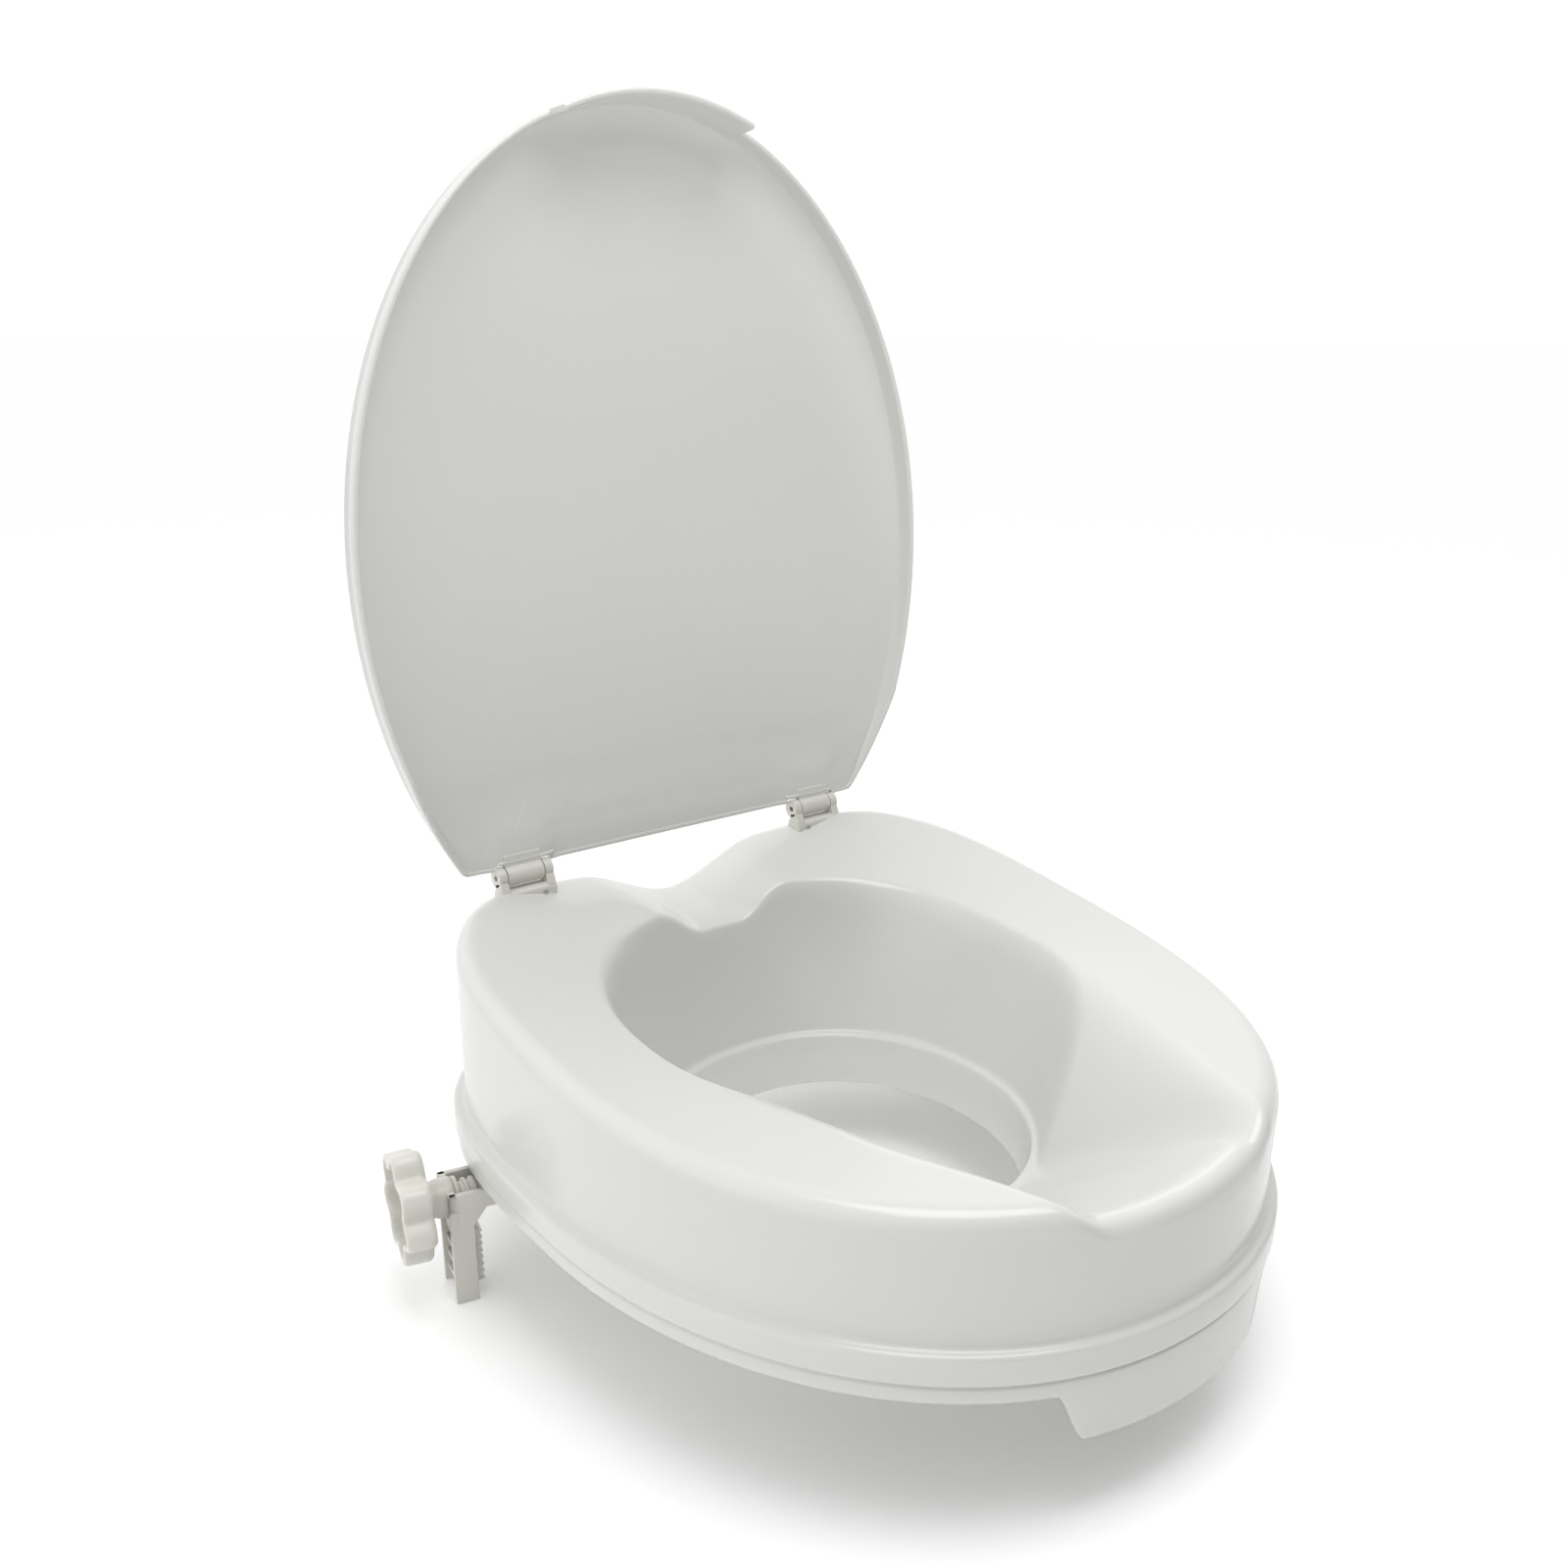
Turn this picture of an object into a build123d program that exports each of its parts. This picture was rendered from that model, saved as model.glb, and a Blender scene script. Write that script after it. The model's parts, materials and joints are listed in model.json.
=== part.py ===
from build123d import *
import math
import os

# Raised toilet seat with lid and two screw clamps. Millimetres, +Z up, front towards -Y, X to the sides.
# Z = 0 is the level of the clamp legs' feet; the origin is under the middle of the footprint.

os.makedirs("parts", exist_ok=True)

GAP = 0.4                   # clearance between sliding faces
THROUGH = 60.0              # longer than any hole that is drilled right through
STANDING = (Align.CENTER, Align.CENTER, Align.MIN)

# ---- seat ----------------------------------------------------------------------------------------
FLANGE_Z = 90.0             # height of the flange that runs round the skirt
SEAT_MID_Y = 15.28          # where the seat is widest
WALL = 3.2                  # thickness of the moulded shell
FLANGE_HALF_WIDTH = 184.8
FLANGE_FRONT = 222.9        # from the widest place to the front
FLANGE_BACK = 180.5         # from the widest place to the back
FRONT_POWER = 2.08          # superellipse powers of the outline
BACK_POWER = 3.3
WALL_INSET = 5.8            # the upper wall stands this far inside the flange
BAND_INSET = 1.4            # the band under the groove stands this far inside the flange
RIM_RADIUS = 11.0           # rounding of the outer top edge
CREST_RADIUS = 11.0         # rounding of the inner top edge
FLANGE_SOFT = 1.8           # softening of the flange's upper edge
SHOULDER = 2.0              # rise from the flange to the upper wall

SKIRT_BOTTOM = FLANGE_Z - 23
GROOVE_Z = FLANGE_Z - 15
APRON_BOTTOM = FLANGE_Z - 47    # lower edge of the splash guard at the front
APRON_HALF = 66.0               # half the width of the splash guard
APRON_SLANT = 8.0               # lean of its sides
APRON_ROUND = 14.0              # rounding of its lower corners
APRON_OVERLAP = 4.0             # it starts this far up in the skirt
LEDGE_Z = FLANGE_Z - 16         # step in the inner wall
LIP_BOTTOM = FLANGE_Z - 45
LEDGE_STEP = 4.0                # drop of that step
EDGE_T = 3 * WALL               # depth of the filled skirt and lip before they are hollowed
OVERCUT = 30.0                  # how far the hollow runs on below the lip

RIM_Z = FLANGE_Z + 60           # seating surface at the front, outer edge
CREST_Z = FLANGE_Z + 57         # seating surface at the front, inner edge
VALLEY_Z = FLANGE_Z + 65.5      # seating surface at the middle of the back
VALLEY_SLOPE = 0.245            # its rise towards the back corners
VALLEY_ROUND = 10.0             # rounding where the rising front meets the valley
# Rise towards the back: slope, where it starts, and how softly.
RIM_RISE = (0.165, -60, 40)
CREST_RISE = (0.17, 35, 25)

# Openings: half-width, reach to the front, reach to the back, power at the back.
CREST_RING = (118.0, 112.0, 116.0, 2.5)
LEDGE_RING = (95.0, 101.0, 101.0, 2.2)
LIP_TOP_RING = (91.0, 98.0, 96.0, 2.2)
LIP_BOTTOM_RING = (87.0, 96.0, 90.0, 2.2)

# Front cleansing dip: distance from the seat's middle, floor, and half-width at crest height.
FRONT_DIP = ((-266.5, 48, 57), (-206.5, 48, 57), (-102.5, -15, 80), (-50.5, -16, 93))
FRONT_DIP_SIDE = 2.6            # steepness of its sides
FRONT_DIP_CREST = 57            # height at which the half-widths above are taken
FRONT_DIP_TOP = 109             # the cut runs up to this height
# Rear cleansing dip: distance from the seat's middle, and floor.
REAR_DIP = ((49.5, 43.5), (219.5, 69))
REAR_DIP_HALF = 29.0            # half-width of its floor
REAR_DIP_SIDE = 1.1             # steepness of its sides
REAR_DIP_TOP = 129              # the cut runs up to this height
SECTIONS = 14                   # sections lofted round half of the seat
TURNS = [math.pi * i / SECTIONS for i in range(SECTIONS + 1)]

# ---- hinges and lid ------------------------------------------------------------------------------
HINGE_Y = SEAT_MID_Y + 159.2
HINGE_Z = FLANGE_Z + 97.2
HINGE_X = 101.2             # middle of each hinge
HINGE_LENGTH = 32.8
KNUCKLE_R = 5.6
END_KNUCKLE = 5.0           # length of each end knuckle
PIN_R = 1.6
PIN_RECESS = 1.5            # the pin's ends lie this far inside the knuckles
PIN_FIT = 0.05              # clearance of the pin in the leaf
HINGE_FOOT = 15.0           # reach of the hinge's foot in front of its pin
HINGE_SCREW_Y = HINGE_Y - 8
HINGE_SCREW_R = 1.5
HINGE_HEAD_R = 3.4
HINGE_HEAD_T = 2.0
PAD_DEPTH = 14.0            # of the thick pad under each hinge, front to back
LID_OPEN = 93.5             # the opened lid's angle from the horizontal, in degrees
LID_HALF_WIDTH = 180.0
LID_WIDEST = 160.0          # distance of the widest place from the hinge line
LID_FRONT = 229.0           # from the widest place to the front
LID_BACK = 235.0            # reach of the back ellipse, which the back edge cuts off
LID_EDGE = 3.5              # the back edge's distance from the hinge line
LID_RIM = 9.7               # the rim stands this far in front of the hinge line
LID_WALL = 3.0
VISOR_HALF = 57.0           # half-width of the deeper lip at the lid's front
VISOR_DEPTH = 13.0
RIM_TAPER = 62.0            # the rim grows to full depth over this distance from the hinge line
LEAF_LENGTH = HINGE_LENGTH - 2 * END_KNUCKLE - 2 * GAP
LEAF_TOP = 15.0             # the leaf's upper edge, from the hinge line
LEAF_T = 3.5
LEAF_BACK = -2.0            # the leaf's back face, on the strip along the lid's back edge
LEAF_SCREWS = 12.0          # spacing of the screws that hold each leaf
LEAF_SCREW_Y = LEAF_TOP - 4.5
LEAF_SCREW_R = 1.2
LEAF_HEAD_R = 2.5
LEAF_HEAD = (-9.0, -7.0)    # the heads lie between these heights over the lid's plane
LEAF_BITE = 2.6             # depth of the screw holes in the leaf
NOTCH_TOP = KNUCKLE_R + 0.8     # the lid is cut out round each hinge
NOTCH_SIDE = 1.0
STRIP_DEPTH = 18.0          # of the solid strip along the lid's back edge
BEHIND = -20.0              # a height that is well behind the lid

# ---- clamps --------------------------------------------------------------------------------------
CLAMP_X = 193.3             # outer face of the end plate
CLAMP_Y = SEAT_MID_Y + 86.2
CLAMP_YAW = 12.0            # the clamps point slightly forwards, square to the bowl
AXIS_Z = FLANGE_Z - 34      # screw axis
RAIL_TOP = FLANGE_Z - 27
RAIL_BOTTOM = FLANGE_Z - 37
RAIL_LENGTH = 92.0
RAIL_T = 3.0
TRAY_WIDTH = 26.0
LEG_LENGTH = 12.0           # of the leg's flanges, along the screw
SCREW_R = 7.6
THREAD_DEPTH = 1.5
LEAD = 4.0                  # the screw's advance in one turn
NECK_R = 10.0
KNOB_R = 26.5
KNOB_LOBES = 7
KNOB_DEPTH = 15.5
GUIDE_START = 40.0          # where the guide under the seat begins, along the screw
GUIDE_LENGTH = 30.0
GUIDE_MID = GUIDE_START + GUIDE_LENGTH / 2
GUIDE_TOP = FLANGE_Z - 22   # underside of the pedestal that carries the guide
PLATE_T = 3.0               # thickness of the pedestal's floor
GUIDE_WIDTH = TRAY_WIDTH + 2 * GAP + 6
GUIDE_SCREWS = 20.0         # spacing of the screws that hold guide and nut
HINGE_PAD_Z = FLANGE_Z + 77  # underside of the thick pad under each hinge
HINGE_SCREWS = 18.0         # spacing of the screws that hold each hinge
RIB_T = 2.4
RIB_ANGLES = (-58, -32, 0, 48)  # on each side, from square to the side; negative is towards the front
RIB_MID = 150.0                 # middle of a rib, from the seat's middle
RIB_SPAN = 130.0
RIB_BOTTOM = SKIRT_BOTTOM + 3
HOLLOW_HEIGHT = 120.0           # more than the height of the hollow
SHELL_HOLE_R = 1.8              # clearance holes for hinge and guide screws


# ---- seat shell ----------------------------------------------------------------------------------
def smooth_min(a, b, k):
    """Lower of two heights, rounded over k where they cross."""
    h = max(k - abs(a - b), 0.0) / k
    return min(a, b) - h * h * k / 4


def soft_ramp(y, width):
    """Zero well below y = 0 and y well above it."""
    return width * math.log1p(math.exp(y / width))


def egg_radius(angle, half, front, back, front_power, back_power):
    """Distance from the seat's middle to an egg-shaped outline; angle 0 is the front."""
    across, along = math.sin(angle), math.cos(angle)
    reach, power = (front, front_power) if along > 0 else (back, back_power)
    return (abs(across / half) ** power + abs(along / reach) ** power) ** (-1 / power)


def opening_radius(angle, ring):
    half, front, back, back_power = ring
    return egg_radius(angle, half, front, back, 2.0, back_power)


def outline_radius(angle, inset):
    sizes = (FLANGE_HALF_WIDTH - inset, FLANGE_FRONT - inset, FLANGE_BACK - inset)
    return egg_radius(angle, *sizes, FRONT_POWER, BACK_POWER)


def rim_height(angle, radius):
    y = -radius * math.cos(angle)
    valley = VALLEY_Z + VALLEY_SLOPE * radius * abs(math.sin(angle))
    slope, start, width = RIM_RISE
    return smooth_min(RIM_Z + slope * soft_ramp(y - start, width), valley, VALLEY_ROUND)


def crest_height(angle, radius):
    y = -radius * math.cos(angle)
    valley = VALLEY_Z - 2 + VALLEY_SLOPE * radius * abs(math.sin(angle))
    slope, start, width = CREST_RISE
    return smooth_min(CREST_Z + slope * soft_ramp(y - start, width), valley, VALLEY_ROUND)


def section_plane(angle):
    """Upright plane through the seat's middle; its x runs outwards and its y runs up."""
    outwards = (math.sin(angle), -math.cos(angle), 0)
    square = (-math.cos(angle), -math.sin(angle), 0)
    return Plane(origin=(0, SEAT_MID_Y, 0), x_dir=outwards, z_dir=square)


def outer_section(angle):
    """Outline of the filled seat at one angle; corners 6 and 7 are the rim and the crest."""
    flange = outline_radius(angle, 0)
    band = outline_radius(angle, BAND_INSET)
    wall = outline_radius(angle, WALL_INSET)
    crest = opening_radius(angle, CREST_RING)
    lip_bottom = opening_radius(angle, LIP_BOTTOM_RING)
    return [
        (band, SKIRT_BOTTOM),
        (band, GROOVE_Z - 1),
        (flange, GROOVE_Z + 1.2),
        (flange, FLANGE_Z - 1.6),
        (flange - FLANGE_SOFT, FLANGE_Z),
        (wall, FLANGE_Z + SHOULDER),
        (wall, rim_height(angle, wall)),
        (crest, crest_height(angle, crest)),
        (opening_radius(angle, LEDGE_RING), LEDGE_Z),
        (opening_radius(angle, LIP_TOP_RING), LEDGE_Z - LEDGE_STEP),
        (lip_bottom, LIP_BOTTOM),
        (lip_bottom + EDGE_T, LIP_BOTTOM),
        (band - EDGE_T, SKIRT_BOTTOM),
    ]


def inner_section(angle):
    """Outline of the hollow under the seat at one angle; corners 3 and 4 are the rim and the crest."""
    band = outline_radius(angle, BAND_INSET) - WALL
    wall = outline_radius(angle, WALL_INSET)
    crest = opening_radius(angle, CREST_RING)
    lip_bottom = opening_radius(angle, LIP_BOTTOM_RING) + WALL
    return [
        (band, LIP_BOTTOM - OVERCUT),
        (band, FLANGE_Z - WALL),
        (wall - WALL, FLANGE_Z + SHOULDER),
        (wall - WALL, rim_height(angle, wall) - WALL),
        (crest + 0.75 * WALL, crest_height(angle, crest) - WALL),
        (opening_radius(angle, LEDGE_RING) + WALL, LEDGE_Z - WALL / 2),
        (opening_radius(angle, LIP_TOP_RING) + WALL, LEDGE_Z - LEDGE_STEP - WALL / 2),
        (lip_bottom, LIP_BOTTOM),
        (lip_bottom, LIP_BOTTOM - OVERCUT),
    ]


def rounded_section(angle, points, corners):
    """Sketch of one section, with the corners named by index rounded."""
    with BuildSketch(section_plane(angle)) as section:
        with BuildLine():
            Polyline(*points, close=True)
        make_face()
        for index, radius in corners:
            corner = Vector(*points[index])
            nearest = section.vertices().sort_by_distance(corner)[0]
            fillet(nearest, radius)
    return section.sketch


def dip_channel(stations, slope, top):
    """Channel with slanted sides; each station is its y, the height of its floor and half the floor's width."""
    sections = []
    for y, floor, half in stations:
        flare = (top - floor) / slope
        with BuildSketch(Plane.XZ.offset(-SEAT_MID_Y - y)) as section:
            with BuildLine():
                Polyline(
                    (-half, FLANGE_Z + floor),
                    (half, FLANGE_Z + floor),
                    (half + flare, FLANGE_Z + top),
                    (-half - flare, FLANGE_Z + top),
                    close=True,
                )
            make_face()
        sections.append(section.sketch)
    loft(sections, ruled=True, mode=Mode.SUBTRACT)


def cut_dips(grow):
    """Both cleansing dips, made larger by a distance for the hollow side of the shell."""
    front = []
    for y, floor, crest_half in FRONT_DIP:
        low = floor - 1.15 * grow
        front.append((y, low, crest_half + grow - (FRONT_DIP_CREST - low) / FRONT_DIP_SIDE))
    dip_channel(front, FRONT_DIP_SIDE, FRONT_DIP_TOP)
    rear = [(y, floor - grow, REAR_DIP_HALF + 0.4 * grow) for y, floor in REAR_DIP]
    dip_channel(rear, REAR_DIP_SIDE, REAR_DIP_TOP)


def clamp_plane(side, z):
    """Level plane at one clamp: origin at the end plate, x inwards along the screw."""
    yaw = math.radians(CLAMP_YAW)
    inwards = (-side * math.cos(yaw), -math.sin(yaw), 0)
    return Plane(origin=(side * CLAMP_X, CLAMP_Y, z), x_dir=inwards, z_dir=(0, 0, 1))


def cross_plane(side, along):
    """Upright plane across one clamp's screw, its x level and its y up, at a distance along the screw."""
    flat = clamp_plane(side, AXIS_Z)
    origin = flat.origin + flat.x_dir * along
    return Plane(origin=origin, x_dir=flat.y_dir, z_dir=flat.x_dir)


def top_plate(side):
    """Where the pedestal for one clamp's guide stands, seen from above."""
    with BuildSketch(clamp_plane(side, GUIDE_TOP)) as plate:
        with Locations((GUIDE_MID, 0)):
            Rectangle(GUIDE_LENGTH, GUIDE_WIDTH)
    return plate.sketch


# The hollow under the seat. Pedestals, hinge pads and ribs are left standing in it.
with BuildPart() as hollow:
    corners = ((3, RIM_RADIUS - WALL), (4, CREST_RADIUS - WALL))
    loft([rounded_section(turn, inner_section(turn), corners) for turn in TURNS])
    cut_dips(WALL)
    extrude(top_plate(1), amount=PLATE_T, mode=Mode.SUBTRACT)
    with BuildSketch(clamp_plane(1, GUIDE_TOP)):
        with Locations((GUIDE_MID, 0)):
            Rectangle(GUIDE_LENGTH, GUIDE_WIDTH)
            Rectangle(GUIDE_LENGTH - 2 * RIB_T, GUIDE_WIDTH - 2 * RIB_T, mode=Mode.SUBTRACT)
    extrude(amount=HOLLOW_HEIGHT, mode=Mode.SUBTRACT)
    with BuildSketch(Plane.XY.offset(HINGE_PAD_Z)):
        with Locations((HINGE_X, HINGE_SCREW_Y)):
            Rectangle(HINGE_LENGTH, PAD_DEPTH)
    extrude(amount=HOLLOW_HEIGHT, mode=Mode.SUBTRACT)
    for rib_angle in RIB_ANGLES:
        with BuildSketch(Plane.XY.offset(RIB_BOTTOM)):
            with Locations(Location((0, SEAT_MID_Y), rib_angle)):
                with Locations((RIB_MID, 0)):
                    Rectangle(RIB_SPAN, RIB_T)
        extrude(amount=HOLLOW_HEIGHT, mode=Mode.SUBTRACT)

with BuildPart() as seat_filled:
    corners = ((6, RIM_RADIUS), (7, CREST_RADIUS))
    loft([rounded_section(turn, outer_section(turn), corners) for turn in TURNS])
    cut_dips(0)

# Splash guard: the band of the skirt goes on down across the front.
with BuildPart() as splash_guard:
    with BuildSketch(Plane.XY.offset(APRON_BOTTOM - 5)):
        with Locations((0, SEAT_MID_Y)):
            half = FLANGE_HALF_WIDTH - BAND_INSET
            front = FLANGE_FRONT - BAND_INSET
            Ellipse(half, front)
            Ellipse(half - WALL, front - WALL, mode=Mode.SUBTRACT)
    extrude(amount=SKIRT_BOTTOM - APRON_BOTTOM + 10)
    with BuildSketch(Plane.XZ.offset(100)) as guard_face:
        with BuildLine():
            Polyline(
                (-APRON_HALF, SKIRT_BOTTOM + APRON_OVERLAP),
                (-APRON_HALF + APRON_SLANT, APRON_BOTTOM),
                (APRON_HALF - APRON_SLANT, APRON_BOTTOM),
                (APRON_HALF, SKIRT_BOTTOM + APRON_OVERLAP),
                close=True,
            )
        make_face()
        fillet(guard_face.vertices().group_by(Axis.Y)[0], APRON_ROUND)
    extrude(amount=200, mode=Mode.INTERSECT)

with BuildPart() as seat_shell:
    add(seat_filled.part)
    add(hollow.part, mode=Mode.SUBTRACT)
    mirror(about=Plane.YZ)
    add(splash_guard.part)
    for side in (-1, 1):
        with Locations(Location((side * HINGE_X, HINGE_SCREW_Y, HINGE_PAD_Z))):
            with GridLocations(HINGE_SCREWS, 1, 2, 1):
                Cylinder(SHELL_HOLE_R, THROUGH, mode=Mode.SUBTRACT)
        with Locations(clamp_plane(side, GUIDE_TOP).location):
            with Locations((GUIDE_MID, 0)):
                with GridLocations(GUIDE_SCREWS, 1, 2, 1):
                    Cylinder(SHELL_HOLE_R, 4 * PLATE_T, mode=Mode.SUBTRACT)

parts = {"seat_shell": seat_shell.part}
seat_halves = {1: seat_filled.part, -1: seat_filled.part.mirror(Plane.YZ)}

# ---- hinges --------------------------------------------------------------------------------------
lid_angle = math.radians(LID_OPEN)
lid_up = (0, -math.cos(lid_angle), math.sin(lid_angle))
lid_face = (0, -math.sin(lid_angle), -math.cos(lid_angle))
# On this plane x runs sideways, y runs from the hinge line to the lid's front, z points to the seat.
lid_plane = Plane(origin=(0, HINGE_Y, HINGE_Z), x_dir=(1, 0, 0), z_dir=lid_face)


def across_hinge(x):
    """Upright plane across the hinge line at x; its x is +Y and its y is +Z."""
    return Plane(origin=(x, HINGE_Y, HINGE_Z), x_dir=(0, 1, 0), z_dir=(1, 0, 0))


def leaf_screw_holes(side, height, depth, radius, mode=Mode.SUBTRACT):
    """Cylinders at the places of one leaf's screws, between two heights over the lid's plane."""
    with BuildSketch(lid_plane.offset(height)) as circles:
        with Locations((side * HINGE_X, LEAF_SCREW_Y)):
            with GridLocations(LEAF_SCREWS, 1, 2, 1):
                Circle(radius)
    extrude(circles.sketch, amount=depth, mode=mode)


for side, hand in ((-1, "left"), (1, "right")):
    start = side * HINGE_X - HINGE_LENGTH / 2
    with BuildPart() as hinge_block:
        # Foot on the seat, cut to the seat's surface.
        with BuildSketch(across_hinge(start)):
            with BuildLine():
                Polyline(
                    (-HINGE_FOOT, -20),
                    (0, -20),
                    (0, -KNUCKLE_R - GAP),
                    (-8, -KNUCKLE_R - GAP),
                    (-HINGE_FOOT, -9),
                    close=True,
                )
            make_face()
        extrude(amount=HINGE_LENGTH)
        for knuckle_x in (start, start + HINGE_LENGTH - END_KNUCKLE):
            with BuildSketch(across_hinge(knuckle_x)):
                Circle(KNUCKLE_R)
                with Locations((-3.5, -6)):
                    Rectangle(9, 12)
            extrude(amount=END_KNUCKLE)
        add(seat_halves[side], mode=Mode.SUBTRACT)
        with BuildSketch(across_hinge(start)):
            Circle(PIN_R)
        extrude(amount=HINGE_LENGTH, mode=Mode.SUBTRACT)
        with Locations((side * HINGE_X, HINGE_SCREW_Y, HINGE_Z)):
            with GridLocations(HINGE_SCREWS, 1, 2, 1):
                Cylinder(HINGE_SCREW_R, THROUGH, mode=Mode.SUBTRACT)
    parts["hinge_block_" + hand] = hinge_block.part

    with BuildPart() as hinge_leaf:
        with BuildSketch(across_hinge(start + END_KNUCKLE + GAP)):
            Circle(KNUCKLE_R)
        extrude(amount=LEAF_LENGTH)
        with BuildSketch(lid_plane.offset(LEAF_BACK)):
            with Locations((side * HINGE_X, LEAF_TOP / 2)):
                Rectangle(LEAF_LENGTH, LEAF_TOP)
        extrude(amount=LEAF_T)
        with BuildSketch(across_hinge(start)):
            Circle(PIN_R + PIN_FIT)
        extrude(amount=HINGE_LENGTH, mode=Mode.SUBTRACT)
        leaf_screw_holes(side, LEAF_BACK, LEAF_BITE, LEAF_SCREW_R)
    parts["hinge_leaf_" + hand] = hinge_leaf.part

    with BuildPart() as hinge_pin:
        with BuildSketch(across_hinge(start + PIN_RECESS)):
            Circle(PIN_R)
        extrude(amount=HINGE_LENGTH - 2 * PIN_RECESS)
    parts["hinge_pin_" + hand] = hinge_pin.part

    with BuildPart() as hinge_screws:
        with Locations((side * HINGE_X, HINGE_SCREW_Y, HINGE_PAD_Z)):
            with GridLocations(HINGE_SCREWS, 1, 2, 1):
                Cylinder(HINGE_HEAD_R, HINGE_HEAD_T, align=(Align.CENTER, Align.CENTER, Align.MAX))
                Cylinder(HINGE_SCREW_R, 10.5, align=STANDING)
    parts["hinge_screws_" + hand] = hinge_screws.part

    with BuildPart() as leaf_screws:
        tip = LEAF_BACK + LEAF_BITE - 0.2
        leaf_screw_holes(side, LEAF_HEAD[1], tip - LEAF_HEAD[1], LEAF_SCREW_R, Mode.ADD)
        leaf_screw_holes(side, LEAF_HEAD[0], LEAF_HEAD[1] - LEAF_HEAD[0], LEAF_HEAD_R, Mode.ADD)
    parts["leaf_screws_" + hand] = leaf_screws.part

# ---- lid -----------------------------------------------------------------------------------------
def lid_outline(height, inset, edge):
    """Lid outline at a height over the hinge line's plane, cut off along the back edge."""
    middle = Vector(0, LID_WIDEST)
    half, front, back = LID_HALF_WIDTH - inset, LID_FRONT - inset, LID_BACK - inset
    drop = LID_WIDEST - edge
    start = math.degrees(math.asin(drop / back))
    with BuildSketch(lid_plane.offset(height)) as outline:
        with BuildLine():
            EllipticalCenterArc(middle, half, front, start_angle=0, arc_size=180)
            left = EllipticalCenterArc(middle, half, back, start_angle=180, arc_size=start)
            right = EllipticalCenterArc(middle, half, back, start_angle=360 - start, arc_size=start)
            Line(left @ 1, right @ 0)
        make_face()
    return outline.sketch


# Height over the hinge line's plane, inset of the outline, and the back edge, from the rim to the crown.
LID_OUTSIDE = ((LID_RIM, 0, 3.5), (-3.5, 1, 3.5), (-8, 9, 5), (-11.5, 34, 12))
LID_INSIDE = ((LID_RIM + 1, 3, -6), (-0.5, 4.5, -6), (-4.6, 12, -6), (-8.3, 37, -6))

with BuildPart() as lid_cavity:
    loft([lid_outline(*layer) for layer in LID_INSIDE], ruled=True)
    # The strip along the back edge stays solid up to the level of the hinge leaves.
    with BuildSketch(lid_plane.offset(BEHIND)):
        with Locations((0, LID_EDGE)):
            Rectangle(3 * LID_HALF_WIDTH, 2 * STRIP_DEPTH)
    extrude(amount=LEAF_BACK - BEHIND, mode=Mode.SUBTRACT)

with BuildPart() as lid:
    loft([lid_outline(*layer) for layer in LID_OUTSIDE], ruled=True)
    add(lid_cavity.part, mode=Mode.SUBTRACT)
    # Deeper lip at the front, which drops into the seat's front dip.
    with BuildSketch(lid_plane.offset(LID_RIM - 1)):
        with Locations((0, LID_WIDEST)):
            Ellipse(LID_HALF_WIDTH, LID_FRONT)
            Ellipse(LID_HALF_WIDTH - LID_WALL, LID_FRONT - LID_WALL, mode=Mode.SUBTRACT)
        with Locations((0, LID_WIDEST + LID_FRONT)):
            Rectangle(2 * VISOR_HALF, 120, mode=Mode.INTERSECT)
    extrude(amount=VISOR_DEPTH + 1)
    for side in (-1, 1):
        with BuildSketch(lid_plane.offset(BEHIND)):
            with Locations((side * HINGE_X, 0)):
                Rectangle(HINGE_LENGTH + 2 * NOTCH_SIDE, 2 * NOTCH_TOP)
        extrude(amount=-2 * BEHIND, mode=Mode.SUBTRACT)
        leaf_screw_holes(side, BEHIND, -1 - BEHIND, LEAF_SCREW_R)
        leaf_screw_holes(side, BEHIND, LEAF_HEAD[1] - BEHIND, LEAF_HEAD_R + 0.1)
    # The rim fades out towards the back corners, so that the lid swings clear of the seat.
    with BuildSketch(Plane.YZ.offset(-LID_HALF_WIDTH - 1)):
        with BuildLine():
            corners = [(-6, LEAF_BACK), (0, LEAF_BACK), (RIM_TAPER, LID_RIM), (RIM_TAPER, 40), (-6, 40)]
            points = [lid_plane.origin + lid_plane.y_dir * v + lid_plane.z_dir * w for v, w in corners]
            Polyline(*[(point.Y, point.Z) for point in points], close=True)
        make_face()
    extrude(amount=2 * LID_HALF_WIDTH + 2, mode=Mode.SUBTRACT)
parts["lid"] = lid.part

# ---- clamps --------------------------------------------------------------------------------------
FLANGE_Q = TRAY_WIDTH / 2 - RAIL_T / 2      # middle of each rail, across the screw
END_PLATE_T = 4.0                           # end plate, and far bar
END_PLATE_HEIGHT = 19.0
GUSSET_LENGTH = 7.0
GUSSET_HEIGHT = 9.0
PLATE_BOTTOM = 2.0                          # edges of the leg's inner plate
PLATE_TOP = RAIL_BOTTOM - 8
TOOTH_ROOT = 1.5                            # thickness of the jaw under the teeth
TOOTH_SLANT = 0.7                           # share of the pitch to each tooth's tip
JAW_HALF = 9.0
LEG_PLATE = 2.5                             # thickness of the leg's inner plate
TEETH = 8
TOOTH_PITCH = 4.0
TOOTH_DEPTH = 3.0
TEETH_TOP = RAIL_TOP - 23
COLLAR_R = 9.4
SCREW_END = RAIL_LENGTH - 4.6   # the screw's shoulder, which pushes against the far bar
JOURNAL_R = 4.0
JOURNAL_FIT = 0.08              # clearance of the journal in the far bar
END_CAP_R = 7.0
END_CAP_T = 2.6
COLLAR_START = 5.0
COLLAR_T = 2.0
THREAD_START = 9.0
TANG = 7.0                      # square end of the screw, inside the knob
TANG_START = -6.0
TANG_LENGTH = 11.0
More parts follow.
